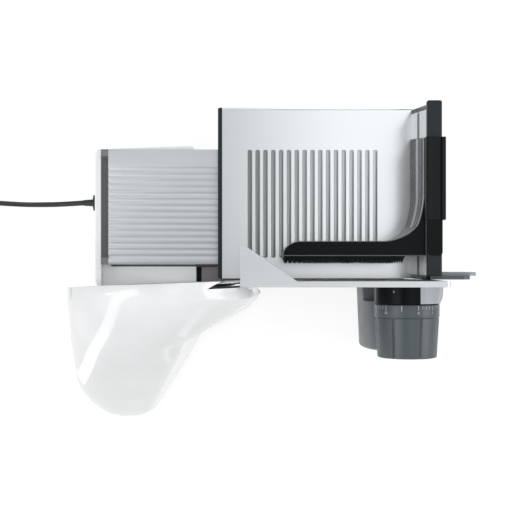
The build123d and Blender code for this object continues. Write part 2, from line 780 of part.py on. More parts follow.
with BuildPart() as wall_caps:
    block(wall_x, (carriage_y[0], wall_front), (carriage_bottom, wall_top))
    cap_foot = (wall_foot[0] + cap_depth, carriage_bottom)
    cap_head = (wall_head[0] + cap_depth, wall_top)
    side_sheet([wall_foot, cap_foot, cap_head, wall_head], wall_x)
    fillet(wall_caps.faces().sort_by(Axis.Y)[-1].edges().sort_by(SortBy.LENGTH)[-2:], 1.0)
finish(wall_caps, "wall_caps")

rail_x = (wall_x[0], wall_x[0] + rail_width)
rail_front = carriage_y[0] + joint_gap + guard_thickness
with BuildPart() as pusher_rail:
    block(rail_x, (rail_front, rail_rear), (wall_top, rail_top))
    block((wall_x[1], rail_x[1]), (rail_front, rail_rear), (wall_top - rail_skirt, wall_top))
    fillet(pusher_rail.edges().filter_by(Axis.Y).group_by(Axis.Z)[-1], 2.0)
    fillet(pusher_rail.edges().filter_by(Axis.Z).group_by(Axis.Y)[-1], 1.5)
finish(pusher_rail, "pusher_rail")

# Hand guard: a dark frame in front of the wall and a paler plate behind it
frame_x = (wall_x[1], wall_x[1] + guard_edge_reach)
frame_y = (carriage_y[0] + joint_gap, rail_front)
with BuildPart() as guard_frame:
    block(frame_x, frame_y, (guard_bottom, guard_edge_top))
    fillet(guard_frame.edges().filter_by(Axis.Y).group_by(Axis.X)[-1], guard_corner)
finish(guard_frame, "guard_frame")

guard_x = (rail_x[1] + slide_gap, carriage_x[1] + guard_reach)
guard_y = (rail_front, rail_front + guard_thickness)
with BuildPart() as hand_guard:
    block(guard_x, guard_y, (guard_bottom + 4.0, guard_top))
    fillet(hand_guard.edges().filter_by(Axis.Y).group_by(Axis.X)[-1], guard_corner)
finish(hand_guard, "hand_guard")

# Runner on the guide rod, hung on a web that passes through the slot beside the ribbed table
with BuildPart() as carriage_web:
    web_y = grow((guide_y, guide_y), web_thickness / 2)
    block(runner_x, web_y, (runner_z[1], carriage_bottom))
finish(carriage_web, "carriage_web")

with BuildPart() as runner_block:
    block(runner_x, runner_y, runner_z)
    fillet(runner_block.edges().filter_by(Axis.X), 2.0)
    bar_x(guide_y, guide_z, runner_x, guide_radius + bearing_gap, Mode.SUBTRACT)
finish(runner_block, "runner_block")

pad_lift = 0.1
pad_edge_x = (carriage_x[0] + 12.0, table_x[1] - 14.0)
pad_edge_y = (table_y[0] + 22.0, table_y[1] - 12.0)
with BuildPart() as glide_pads:
    for pad_x in pad_edge_x:
        for pad_y in pad_edge_y:
            pad_span_x = grow((pad_x, pad_x), pad_size[0] / 2)
            pad_span_y = grow((pad_y, pad_y), pad_size[1] / 2)
            block(pad_span_x, pad_span_y, (table_top + pad_lift, carriage_bottom))
finish(glide_pads, "glide_pads")

# Pusher: an arm with a rounded tip across the carriage and a grooved panel beside the wall
panel_x = (wall_x[0] - slide_gap - pusher_panel, wall_x[0] - slide_gap)
arm_wall = 2.5
hollow_points = [(panel_x[0] + along, pusher_arm_y[1] + out) for along, out in pusher_hollow]
tip_centre = (pusher_arm_x + pusher_tip, pusher_arm_y[0])
with BuildPart() as pusher_arm:
    with BuildSketch(Plane.XY.offset(pusher_z[0])):
        with BuildLine():
            tip_depth = pusher_arm_y[1] - pusher_arm_y[0]
            tip = EllipticalCenterArc(tip_centre, pusher_tip, tip_depth, start_angle=90, arc_size=90)
            Polyline(
                tip @ 1,
                (panel_x[1], pusher_arm_y[0]),
                (panel_x[1], pusher_sleeve_y[1]),
                (panel_x[0], pusher_sleeve_y[1]),
                hollow_points[-1],
            )
            Spline(*hollow_points, tangents=[(1, 0), (0, 1)])
            Line(hollow_points[0], tip @ 0)
        make_face()
    extrude(amount=pusher_z[1] - pusher_z[0])
    hollow_x = (tip_centre[0], panel_x[0] - arm_wall)
    block(hollow_x, grow(pusher_arm_y, -arm_wall), (pusher_z[0], pusher_z[1] - arm_wall), Mode.SUBTRACT)
    groove_x = (panel_x[0], panel_x[0] + panel_groove_depth)
    for groove_z in panel_groove_z:
        block(groove_x, (hollow_points[-1][1], pusher_sleeve_y[1]), groove_z, Mode.SUBTRACT)
finish(pusher_arm, "pusher_arm")

sleeve_x = (panel_x[0], rail_x[1] + slide_gap + sleeve_wall)
sleeve_top = rail_top + slide_gap + sleeve_wall
with BuildPart() as pusher_sleeve:
    block(sleeve_x, pusher_sleeve_y, (wall_top - rail_skirt, sleeve_top))
    fillet(pusher_sleeve.edges().filter_by(Axis.Y).group_by(Axis.Z)[-1], 2.0)
    bore_x = (panel_x[1], rail_x[1] + slide_gap)
    block(bore_x, pusher_sleeve_y, (wall_top - rail_skirt, rail_top + slide_gap), Mode.SUBTRACT)
    block(panel_x, pusher_sleeve_y, (wall_top - rail_skirt, pusher_z[1]), Mode.SUBTRACT)
finish(pusher_sleeve, "pusher_sleeve")

with BuildPart() as pusher_clip:
    tongue_y = (pusher_arm_y[0], pusher_sleeve_y[0])
    block(rail_x, tongue_y, (rail_top + slide_gap, rail_top + slide_gap + sleeve_wall / 2))
    fillet(pusher_clip.edges().filter_by(Axis.Z).group_by(Axis.Y)[0], 3.0)
finish(pusher_clip, "pusher_clip")

# Comb of food teeth on the face of the arm
comb_face = pusher_arm_y[0] - tooth_plate
comb_tip = comb_face - tooth_length
comb_z = grow(pusher_z, -3.0)
tooth_count = int((tooth_x[1] - tooth_x[0]) / tooth_pitch)
row_step = (comb_z[1] - comb_z[0] - tooth_row_height) / (tooth_row_count - 1)
with BuildPart() as pusher_teeth:
    block(tooth_x, (comb_face, pusher_arm_y[0]), comb_z)
    saw = [(tooth_x[0], pusher_arm_y[0]), (tooth_x[0], comb_face)]
    for index in range(tooth_count):
        saw.append((tooth_x[0] + (index + 0.5) * tooth_pitch, comb_tip))
        saw.append((tooth_x[0] + (index + 1) * tooth_pitch, comb_face))
    saw.append((saw[-1][0], pusher_arm_y[0]))
    for row in range(tooth_row_count):
        with BuildSketch(Plane.XY.offset(comb_z[0] + row * row_step)):
            with BuildLine():
                Polyline(*saw, close=True)
            make_face()
        extrude(amount=tooth_row_height)
finish(pusher_teeth, "pusher_teeth")

# Stop plate: its left edge follows the blade, its tab below the table carries two guide pins
plate_back = cut_y - plate_thickness
blade_centre_x = tower_point(blade_u, 0, blade_z).X
plate_edge_gap = 1.5
edge_radius = blade_radius + plate_edge_gap
edge_rise = plate_z[1] - blade_z
corner_turn = atan2(edge_rise, sqrt(edge_radius**2 - edge_rise**2))
edge_top = (blade_centre_x + edge_radius * cos(corner_turn), plate_z[1])
edge_middle = (
    blade_centre_x + edge_radius * cos(corner_turn / 2),
    blade_z + edge_radius * sin(corner_turn / 2),
)
edge_low = (blade_centre_x + edge_radius, blade_z)

with BuildPart() as stop_plate:
    with BuildSketch(Plane(origin=(0, cut_y, 0), x_dir=(1, 0, 0), z_dir=(0, -1, 0))):
        with BuildLine():
            ThreePointArc(edge_top, edge_middle, edge_low)
            Polyline(
                edge_low,
                (edge_low[0], plate_z[0]),
                (plate_tab_x, plate_z[0]),
                (plate_tab_x, plate_tab_bottom),
                (plate_right, plate_tab_bottom),
                (plate_right, plate_z[1]),
                edge_top,
            )
        make_face()
    extrude(amount=plate_thickness)
    fillet(stop_plate.edges().filter_by(Axis.Y).group_by(Axis.X)[-1], plate_corner)
finish(stop_plate, "stop_plate")

finger_flat = 4.0
with BuildPart() as finger_guard:
    with BuildSketch(Plane.XY.offset(plate_z[1] - finger_thickness)):
        with BuildLine():
            Polyline(
                (edge_top[0], cut_y),
                (edge_top[0], finger_y),
                (edge_top[0] + finger_flat, finger_y),
                (finger_x, cut_y),
                close=True,
            )
        make_face()
    extrude(amount=finger_thickness)
finish(finger_guard, "finger_guard")

pin_places = (dial_x - guide_pin_spread / 2, dial_x + guide_pin_spread / 2)
with BuildPart() as guide_pins:
    for pin_x in pin_places:
        bar_y(pin_x, guide_pin_z, (plate_back - guide_pin_length, plate_back), guide_pin_radius)
finish(guide_pins, "guide_pins")


def dial_turned(outline, mode=Mode.ADD):
    """A turned piece about the dial axis from (radius, Y) points."""
    start = Vector(dial_x, 0, dial_z)
    with BuildSketch(Plane(origin=start, x_dir=(1, 0, 0), z_dir=(0, 0, 1))) as half:
        with BuildLine():
            Polyline(*outline, close=True)
        make_face()
    revolve(half.sketch, axis=Axis(start, (0, 1, 0)), mode=mode)


# Dial boss on the back of the stop plate, open underneath for the nut bracket, with a journal for the dial
boss_end = plate_back - boss_length
boss_inner = boss_radius - boss_wall
journal_radius = 22.0
journal_tip = boss_end - journal_length
boss_slot = stem_width / 2 + 2.0
clip_groove = 1.0
clip_y = (journal_tip + 0.4, journal_tip + 0.4 + clip_width)
with BuildPart() as dial_boss:
    boss_outline = [
        (boss_inner, plate_back),
        (boss_radius, plate_back),
        (boss_radius, boss_end),
        (journal_radius, boss_end),
        (journal_radius, clip_y[1]),
        (journal_radius - clip_groove, clip_y[1]),
        (journal_radius - clip_groove, clip_y[0]),
        (journal_radius, clip_y[0]),
        (journal_radius, journal_tip),
        (journal_radius - journal_wall, journal_tip),
        (journal_radius - journal_wall, boss_end + boss_wall),
        (boss_inner, boss_end + boss_wall),
    ]
    dial_turned(boss_outline)
    with BuildSketch(Plane.XY.offset(dial_z - boss_flare)):
        with BuildLine():
            Polyline(
                (dial_x + boss_radius - 2.0, plate_back),
                (dial_x + boss_radius + 3.5, plate_back),
                (dial_x + boss_radius + 3.5, plate_back - 3.0),
                (dial_x + boss_radius - 2.0, boss_end + 4.0),
                close=True,
            )
        make_face()
    extrude(amount=2 * boss_flare)
    slot_x = grow((dial_x, dial_x), boss_slot)
    block(slot_x, (boss_end, plate_back), (dial_z - 2 * boss_radius, dial_z), Mode.SUBTRACT)
finish(dial_boss, "dial_boss")

with BuildPart() as dial_clip:
    clip_inner = journal_radius - clip_groove
    clip_outer = journal_radius + 2.0
    clip_outline = [
        (clip_inner, clip_y[0]),
        (clip_outer, clip_y[0]),
        (clip_outer, clip_y[1]),
        (clip_inner, clip_y[1]),
    ]
    dial_turned(clip_outline)
finish(dial_clip, "dial_clip")

# Thickness dial with a scale band, grip grooves and a journal bore
dial_start = boss_end - slide_gap
dial_end = dial_start - dial_length
scale_end = dial_start - dial_scale
dial_shoulder = clip_y[1] + slide_gap
dial_inner_end = dial_end + dial_cap
with BuildPart() as dial_knob:
    dial_outline = [
        (journal_radius + bearing_gap, dial_start),
        (dial_radius, dial_start),
        (dial_radius, scale_end),
        (dial_radius - 0.8, scale_end - 0.5),
        (dial_front_radius, dial_end + 1.6),
        (dial_front_radius - 1.6, dial_end),
        (0, dial_end),
        (0, dial_inner_end),
        (clip_outer + 0.5, dial_inner_end),
        (clip_outer + 0.5, dial_shoulder),
        (journal_radius + bearing_gap, dial_shoulder),
    ]
    dial_turned(dial_outline)
    with BuildSketch(Plane(origin=(dial_x, dial_end, dial_z), x_dir=(1, 0, 0), z_dir=(0, -1, 0))):
        with PolarLocations(dial_radius, grip_count, start_angle=90 + 180 / grip_count):
            Rectangle(2 * grip_groove + 2.5, 1.6)
    extrude(amount=-(dial_length - dial_scale - 0.6), mode=Mode.SUBTRACT)
finish(dial_knob, "dial_knob")

feed_tip = plate_back - 2.4
with BuildPart() as feed_screw:
    bar_y(dial_x, dial_z, (dial_inner_end, feed_tip), feed_radius)
finish(feed_screw, "feed_screw")

# Nut bracket: stands on the foot inside the boss and holds the nut of the feed screw
bracket_y = (boss_end + 0.7, boss_end + 0.7 + stem_thickness)
nut_y = (bracket_y[0] - nut_length, bracket_y[1])
with BuildPart() as nut_bracket:
    block(grow((dial_x, dial_x), stem_width / 2), bracket_y, (foot_ledge, dial_z))
    bar_y(dial_x, dial_z, bracket_y, nut_radius)
    bar_y(dial_x, dial_z, nut_y, nut_radius)
    bar_y(dial_x, dial_z, nut_y, feed_radius + bearing_gap, Mode.SUBTRACT)
finish(nut_bracket, "nut_bracket")

# Dial foot: a tapered grey casting, with a ledge for the bracket and bores for the guide pins
foot_block_y = bracket_y[0] - 0.1
foot_bottom = foot_height
pin_bore_end = plate_back - guide_pin_length - plate_travel - 2.0
with BuildPart() as dial_foot:
    with BuildSketch(Plane.XY.offset(foot_bottom)):
        with Locations(((foot_x[0] + foot_x[1]) / 2, (foot_y + channel_y[0]) / 2)):
            Rectangle(foot_x[1] - foot_x[0], channel_y[0] - foot_y)
    extrude(amount=foot_top - foot_bottom, taper=foot_taper)
    fillet(dial_foot.faces().sort_by(Axis.Y)[0].edges().filter_by(Axis.X, reverse=True), foot_corner)
    block(grow(foot_x, 5.0), (foot_block_y, channel_y[0] + 5.0), (foot_ledge, foot_top + 1.0), Mode.SUBTRACT)
    for pin_x in pin_places:
        bar_y(pin_x, guide_pin_z, (pin_bore_end, foot_block_y), guide_pin_radius + bearing_gap, Mode.SUBTRACT)
    for screw_x in foot_screw_x:
        bar_y(screw_x, foot_screw_z, (channel_y[0] - 14.0, channel_y[0]), screw_radius, Mode.SUBTRACT)
finish(dial_foot, "dial_foot")

with BuildPart() as foot_screws:
    wall_inside = channel_front_y[1]
    for screw_x in foot_screw_x:
        bar_y(screw_x, foot_screw_z, (channel_y[0] - 12.0, wall_inside), screw_radius)
        bar_y(screw_x, foot_screw_z, (wall_inside, wall_inside + screw_head_height), screw_head_radius)
finish(foot_screws, "foot_screws")

# Push button in the rear wall of the base, with its switch
flange_gap = 0.3
flange_y = (base_inner_y[1] - flange_gap - 2.5, base_inner_y[1] - flange_gap)
button_wall_y = base_y[1] + base_skew * (button_x - base_x[0]) / (base_x[1] - base_x[0])
with BuildPart() as push_button:
    bar_y(button_x, button_z, (flange_y[0], button_wall_y + button_proud), button_radius)
    fillet(push_button.edges().sort_by(Axis.Y)[-1], 1.5)
    bar_y(button_x, button_z, flange_y, button_radius + 2.0)
finish(push_button, "push_button")

with BuildPart() as switch_body:
    block(grow((button_x, button_x), 10.0), switch_y, switch_z)
    bar_y(button_x, button_z, (switch_y[1], flange_y[0] - button_travel - flange_gap), 2.5)
finish(switch_body, "switch_body")

with BuildPart() as terminal_block:
    terminal_x = (base_inner_x[0] + 8.0, base_inner_x[0] + 32.0)
    terminal_y = grow((gland_y, gland_y), 7.0)
    block(terminal_x, terminal_y, (bottom_plate_top, bottom_plate_top + 14.0))
    with Locations((sum(terminal_x) / 2, gland_y, bottom_plate_top + 14.0)):
        with GridLocations(8.0, 1, 3, 1):
            Cylinder(2.2, 8.0, mode=Mode.SUBTRACT)
finish(terminal_block, "terminal_block")

# Rubber feet under the base, the tower, the leg and the dial foot
base_foot_inset = 26.0
base_feet = [(x, base_y[1] - base_foot_inset) for x in grow(base_x, -base_foot_inset)]
base_feet.append((base_x[0] + base_foot_inset, base_y[0] + 55.0))
tower_foot_places = [(-158.0, 40.0), (-58.0, 26.0), (-142.0, 108.0)]
tower_feet = [tower_point(across, depth, 0) for across, depth in tower_foot_places]
leg_foot_place = (sum(leg_x) / 2, sum(leg_y) / 2)
dial_feet = [(foot_x[0] + 14.0, foot_y + 14.0), (foot_x[1] - 14.0, foot_y + 14.0)]
with BuildPart() as rubber_feet:
    for foot_place in base_feet + dial_feet + [leg_foot_place]:
        bar_z(*foot_place, (0, foot_height), foot_radius)
    for foot_place in tower_feet:
        bar_z(foot_place.X, foot_place.Y, (0, tower_bottom), foot_radius)
finish(rubber_feet, "rubber_feet")

# Cord gland: an oval flange in the left wall of the base with a tapered sleeve
gland_flange = 3.0
gland_tip = base_x[0] - gland_length
cord_radius = cord_diameter / 2
with BuildPart() as cord_gland:
    bar_x(gland_y, gland_z, (base_x[0], base_inner_x[0] + 6.0), gland_seat_radius)
    bar_x(gland_y, gland_z, (base_inner_x[0], base_inner_x[0] + 2.5), gland_seat_radius + 2.0)
    with BuildSketch(Plane(origin=(base_x[0], gland_y, gland_z), x_dir=(0, 1, 0), z_dir=(-1, 0, 0))):
        SlotOverall(15.0, 11.0)
    extrude(amount=gland_flange)
    sleeve_start = base_x[0] - gland_flange
    with Locations(Location(((sleeve_start + gland_tip) / 2, gland_y, gland_z), (0, -90, 0))):
        Cone(cord_radius + 1.1, cord_radius + 0.4, sleeve_start - gland_tip)
finish(cord_gland, "cord_gland")

# Cord: leaves the gland, sinks to the table and runs into a coil that holds the rest of its length
cord_route = [
    (gland_tip, gland_y, gland_z),
    (-199.0, 60.6, 48.6),
    (-222.0, 60.9, 38.0),
    (-243.0, 62.0, 20.5),
    (-262.0, 63.7, 8.0),
    (-284.0, 65.2, 2.8),
    (-309.0, 66.0, 2.6),
]


def cord_radii(route):
    """The largest even arcs that the runs of a route leave room for."""
    radii = []
    for before, point, after in zip(route, route[1:], route[2:]):
        run_in = Vector(*point) - Vector(*before)
        run_out = Vector(*after) - Vector(*point)
        half_turn = radians(run_in.get_angle(run_out)) / 2
        radii.append(0.45 * min(run_in.length, run_out.length) / tan(half_turn))
    return radii


route_radii = cord_radii(cord_route)
print("cord radii", [round(radius, 1) for radius in route_radii])
with BuildPart() as cord_tube:
    with BuildLine() as cord_path:
        FilletPolyline(*cord_route, radius=route_radii)
    route_start = cord_path.line @ 0
    with BuildSketch(Plane(origin=route_start, z_dir=cord_path.line % 0)):
        Circle(cord_radius)
    sweep(path=cord_path.line)
cord_volume = pi * cord_radius**2 * cord_path.wires()[0].length
print("cord tube", round(cord_tube.part.volume), "section by length", round(cord_volume))
finish(cord_tube, "cord_tube")

coil_x = cord_route[-1][0] - 4.0
coil_half = coil_turns_across * cord_radius
coil_outer_turn = coil_turn_radius + coil_half - cord_radius
coil_y = cord_route[-1][1] - coil_outer_turn
coil_height = coil_layers * cord_diameter
with BuildPart() as cord_coil:
    bar_z(coil_x, coil_y, (0, coil_height), coil_turn_radius + coil_half)
    bar_z(coil_x, coil_y, (0, coil_height), coil_turn_radius - coil_half, Mode.SUBTRACT)
finish(cord_coil, "cord_coil")

# Plug beside the coil, on a short straight tail of the cord
tail_x = coil_x - coil_outer_turn
tail_z = coil_height - cord_radius
plug_y = (coil_y - 62.0, coil_y - 26.0)
plug_width = 26.0
plug_thickness = 13.0
plug_neck = 9.0
plug_pin_radius = 2.0
plug_pin_length = 19.0
plug_pin_spread = 19.0
with BuildPart() as cord_tail:
    bar_y(tail_x, tail_z, (plug_y[1], coil_y), cord_radius)
finish(cord_tail, "cord_tail")

plug_sections = [
    (0.0, plug_width, plug_thickness),
    (22.0, plug_width - 4.0, plug_thickness - 1.0),
    (plug_y[1] - plug_y[0], plug_neck, plug_neck),
]
with BuildPart() as plug_body:
    for along, width, height in plug_sections:
        section_start = (tail_x, plug_y[0] + along, tail_z)
        with BuildSketch(Plane(origin=section_start, x_dir=(-1, 0, 0), z_dir=(0, 1, 0))):
            RectangleRounded(width, height, 3.0)
    loft()
finish(plug_body, "plug_body")

with BuildPart() as plug_pins:
    for side in (-1, 1):
        pin_x = tail_x + side * plug_pin_spread / 2
        bar_y(pin_x, tail_z, (plug_y[0] - plug_pin_length, plug_y[0]), plug_pin_radius)
finish(plug_pins, "plug_pins")

tie_width = 8.0
tie_thickness = 1.2
with BuildPart() as cord_tie:
    tie_middle = coil_y - coil_turn_radius
    tie_y = grow((tie_middle, tie_middle), coil_half + tie_thickness)
    tie_x = grow((coil_x, coil_x), tie_width / 2)
    block(tie_x, tie_y, (0, coil_height + tie_thickness))
    bar_z(coil_x, coil_y, (0, coil_height), coil_turn_radius + coil_half, Mode.SUBTRACT)
    bar_z(coil_x, coil_y, (0, coil_height), coil_turn_radius - coil_half)
    block(tie_x, tie_y, (0, coil_height + tie_thickness), Mode.INTERSECT)
finish(cord_tie, "cord_tie")
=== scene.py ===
"""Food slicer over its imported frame: finishes, fine forms and the mains cord, laid out as an add-on."""
import json
from math import cos, pi, radians, sin, tau

import bmesh
import bpy
from bpy.props import FloatProperty, FloatVectorProperty, IntProperty, PointerProperty
from bpy.types import Operator, Panel, PropertyGroup
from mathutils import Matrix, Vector
from mathutils.geometry import interpolate_bezier


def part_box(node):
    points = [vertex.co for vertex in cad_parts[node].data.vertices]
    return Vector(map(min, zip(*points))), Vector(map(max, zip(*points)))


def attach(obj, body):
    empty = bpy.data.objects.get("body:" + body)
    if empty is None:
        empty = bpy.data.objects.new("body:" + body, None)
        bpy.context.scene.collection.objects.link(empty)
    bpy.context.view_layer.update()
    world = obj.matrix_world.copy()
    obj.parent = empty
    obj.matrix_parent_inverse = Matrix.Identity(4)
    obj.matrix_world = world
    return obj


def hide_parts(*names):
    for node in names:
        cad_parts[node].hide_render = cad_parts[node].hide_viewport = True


bl_info = {
    "name": "Food slicer",
    "version": (1, 0, 0),
    "blender": (4, 5, 0),
    "location": "3D View > Sidebar > Slicer",
    "description": "Dresses the frame of a household food slicer",
    "category": "Object",
}

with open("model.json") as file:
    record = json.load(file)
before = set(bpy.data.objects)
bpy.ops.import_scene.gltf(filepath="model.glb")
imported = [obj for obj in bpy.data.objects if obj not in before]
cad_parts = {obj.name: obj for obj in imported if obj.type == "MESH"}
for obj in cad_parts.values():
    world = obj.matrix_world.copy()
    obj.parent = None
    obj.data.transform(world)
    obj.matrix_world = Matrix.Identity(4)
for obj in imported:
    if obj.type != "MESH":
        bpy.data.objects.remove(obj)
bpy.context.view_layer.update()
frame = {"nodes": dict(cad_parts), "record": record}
nodes = frame["nodes"]
finishes = {}

# Values that a user may change


def colour(name, description, default):
    """A colour, written as it looks on a screen."""
    return FloatVectorProperty(
        name=name, description=description, default=default, subtype="COLOR_GAMMA", size=3, min=0.0, max=1.0
    )


def length(name, description, default):
    """A length in metres."""
    return FloatProperty(name=name, description=description, default=default, unit="LENGTH", precision=4)


def number(name, description, default, low=0.0):
    """A plain number, such as an angle in degrees or a power in watts."""
    return FloatProperty(name=name, description=description, default=default, min=low)


def count(name, description, default):
    """A number of like things."""
    return IntProperty(name=name, description=description, default=default, min=1)


class SlicerColours(PropertyGroup):
    """Colours of the slicer's finishes."""

    white_shell: colour("White shell", "Moulded tower", (0.940, 0.940, 0.940))
    # Painted light: the base's white is lighter than the tower's to stand in for light bounced into its
    # shaded front
    base_shell: colour("Base shell, painted lighter", "Moulded base, painted lighter than the tower", (0.985, 0.985, 0.985))
    aluminium: colour("Aluminium", "Ribbed table and stop plate", (0.765, 0.778, 0.787))
    # Painted shade: tone of the faces sunk in the table's grooves
    groove: colour("Table groove shade", "Painted shade in the grooves of the ribbed table", (0.812, 0.825, 0.834))
    steel: colour("Steel", "Carriage table and blade", (0.880, 0.895, 0.905))
    bright_steel: colour("Bright steel", "Carriage wall and its rear edge", (0.960, 0.965, 0.968))
    machined_steel: colour("Machined steel", "Rod, pins, screws and motor", (0.640, 0.645, 0.655))
    # Painted shade: the channel's sheet takes the brown-grey of the shade under the machine
    paint: colour("Channel sheet, painted shade", "Channel beside the base, in a painted shade tone", (0.560, 0.535, 0.548))
    black: colour("Black plastic", "Pusher, caps and bottom plates", (0.050, 0.060, 0.068))
    rail: colour("Dark slate plastic", "Rail and edge trim", (0.135, 0.155, 0.170))
    slate: colour("Slate plastic", "Dial, guard frame and the panel's painted reflection band", (0.266, 0.299, 0.313))
    # Grey for painted light on the boss and painted reflections on the pusher's panel
    pale_grey: colour("Painted light grey", "Painted light on the boss's side and reflections on the pusher's panel", (0.690, 0.705, 0.725))
    strip: colour("Strip plastic", "End strip of the ribbed table", (0.300, 0.304, 0.298))
    grey: colour("Grey plastic", "Dial foot, rear leg and button", (0.435, 0.452, 0.463))
    smoke: colour("Smoke plastic", "Hand guard plate", (0.545, 0.580, 0.590))
    nylon: colour("Natural nylon", "Gears, runner and glide pads", (0.900, 0.880, 0.820))
    bronze: colour("Bronze", "Spindle bush", (0.720, 0.560, 0.360))
    rubber: colour("Rubber", "Feet", (0.110, 0.112, 0.115))
    cord: colour("Cord", "Mains cord, plug and gland", (0.120, 0.128, 0.140))
    marking: colour("Marking", "Lines and numbers of the dial scale", (0.860, 0.875, 0.880))


class SlicerSizes(PropertyGroup):
    """Sizes of the fine forms."""

    cord_diameter: length("Cord diameter", "Outside diameter of the mains cord", 0.005)
    coil_radius: length("Coil radius", "Radius at the middle of the coiled turns", 0.0275)
    coil_turns: count("Turns across", "Turns side by side in each layer", 3)
    table_rib_count: count("Table groove shade", "Grooves in the ribbed table", 15)
    table_rib_pitch: length("Table groove pitch", "From groove to groove of the ribbed table", 0.006)
    table_rib_front: length("First table groove", "From the table's front edge to its first groove", 0.0073)
    table_rib_depth: length("Table groove depth", "Depth of the table's grooves", 0.0014)
    sheet_rib_count: count("Sheet ribs", "Ribs of the carriage sheet", 17)
    sheet_rib_pitch: length("Sheet rib pitch", "From rib to rib of the carriage sheet", 0.00748)
    sheet_rib_width: length("Sheet rib width", "Width of each rib of the carriage sheet", 0.0042)
    sheet_rib_height: length("Sheet rib height", "Rise of each rib above the sheet", 0.0012)
    sheet_rib_middle: length("Sheet rib middle", "X of the middle rib", 0.0453)
    sheet_rib_front: length("Sheet rib front", "Y of the front end of the ribs", 0.008)
    sheet_rib_rear: length("Sheet rib rear", "Y of the rear end of the ribs", 0.111)
    dial_band: length("Scale band", "Width of the band that carries the dial's scale", 0.012)
    dial_front_radius: length("Dial front radius", "Radius of the dial at its front end", 0.0275)
    dial_grooves: count("Grip grooves", "Grooves round the dial's grip", 7)
    dial_groove_place: number("Groove place", "Angle of one groove in degrees", 123.5)
    dial_groove_depth: length("Groove depth", "Depth of the grip grooves", 0.0013)
    dial_groove_width: length("Groove half width", "From the middle of a grip groove to its edge", 0.0013)
    dial_ticks: count("Scale lines", "Lines of the dial's scale", 41)
    dial_tick_step: number("Scale step", "Degrees from line to line", 7.5)
    dial_scale_start: number("Scale start", "Angle of the scale's first line in degrees", 77.5)
    dial_zero: number("Zero line", "Angle of the single line for zero in degrees", 107.0)
    dial_numeral: length("Numeral size", "Height of the numbers on the dial", 0.0034)
    boss_radius: length("Boss radius", "Radius of the boss behind the dial", 0.0301)
    pointer_place: number("Pointer", "Angle of the pointer dot on the boss in degrees", 121.0)
    panel_thickness: length("Panel thickness", "Thickness of the pusher's side panel", 0.0012)
    panel_lean: length("Panel lean", "How far the panel's rear end reaches back at its foot", 0.0090)
    strip_start: length("Strip start", "From the panel's face to the start of its painted reflection strips", 0.0066)
    line_radius: length("Highlight radius", "Radius of the painted highlight lines along the pusher's edges", 0.00035)
    foot_step: length("Foot step", "Y of the front of the foot's ledge", -0.0343)
    foot_cap: length("Foot cap", "Y of the end of the foot's pin grooves", -0.0736)
    foot_ledge: length("Foot ledge", "Height of the foot's ledge", 0.038)
    strip_cap: length("Strip cap", "Length of the caps at the ends of the end strip", 0.0065)
    cover_level: length("Cover level", "Height of the channel's cover", 0.056)


class SlicerStage(PropertyGroup):
    """Camera and light."""

    camera_height: length("Camera height", "Camera above the surface, looking straight down", 1.05)
    camera_shift: length("Camera offset", "Camera ahead of the middle of the slicer", 0.001)
    lens: number("Lens", "Focal length for a 36 mm sensor", 69.15, low=1.0)
    ambient: number("Ambient", "Strength of the even light", 0.66)
    side_power: number("Side lights", "Power of each side softbox in watts", 5.0)
    front_power: number("Front light", "Power of the front softbox in watts", 2.4)
    top_power: number("Top light", "Power of the top softbox in watts", 1.8)
    band_glow: number("Band glow", "Strength of the bright bands on gloss", 5.0)
    ribbon_glow: number("Ribbon glow", "Strength of the long curved cards", 3.0)


# Finishes

WHITE = (1.0, 1.0, 1.0, 1.0)
ALONG_X = (14.0, 2600.0, 2600.0)
ALONG_Y = (2600.0, 14.0, 2600.0)
ALL_WAYS = (900.0, 900.0, 900.0)
MASK_ENDS = (0.3, 0.7)
METAL_EDGE = 0.00025


def linear(gamma):
    """A screen colour as the linear RGBA that a shader takes."""
    channels = [c / 12.92 if c <= 0.04045 else ((c + 0.055) / 1.055) ** 2.4 for c in gamma]
    return (*channels, 1.0)


class Graph:
    """The node tree of a material or a world, with short ways to add nodes and link them."""

    def __init__(self, owner):
        owner.use_nodes = True
        self.tree = owner.node_tree

    def add(self, kind, values=None):
        """A new node with some of its sockets set."""
        node = self.tree.nodes.new(kind)
        for socket, value in (values or {}).items():
            node.inputs[socket].default_value = value
        return node

    def join(self, source, target):
        """Link an output to an input."""
        self.tree.links.new(source, target)

    def span(self, source, ends, results):
        """An output that runs from one result to another while a source runs between two ends."""
        values = {"From Min": ends[0], "From Max": ends[1], "To Min": results[0], "To Max": results[1]}
        node = self.add("ShaderNodeMapRange", values)
        self.join(source, node.inputs["Value"])
        return node.outputs["Result"]

    def along_x(self, ends, results):
        """An output that runs from one result to another between two places along X."""
        where = self.add("ShaderNodeTexCoord")
        split = self.add("ShaderNodeSeparateXYZ")
        self.join(where.outputs["Object"], split.inputs["Vector"])
        return self.span(split.outputs["X"], ends, results)

    def seen_directly(self):
        """An output that is 1 for what the camera sees, also by mirror or through glass."""
        path = self.add("ShaderNodeLightPath")
        total = path.outputs["Is Camera Ray"]
        for ray in ("Is Glossy Ray", "Is Transmission Ray"):
            more = self.add("ShaderNodeMath")
            more.operation = "MAXIMUM"
            self.join(total, more.inputs[0])
            self.join(path.outputs[ray], more.inputs[1])
            total = more.outputs["Value"]
        return total


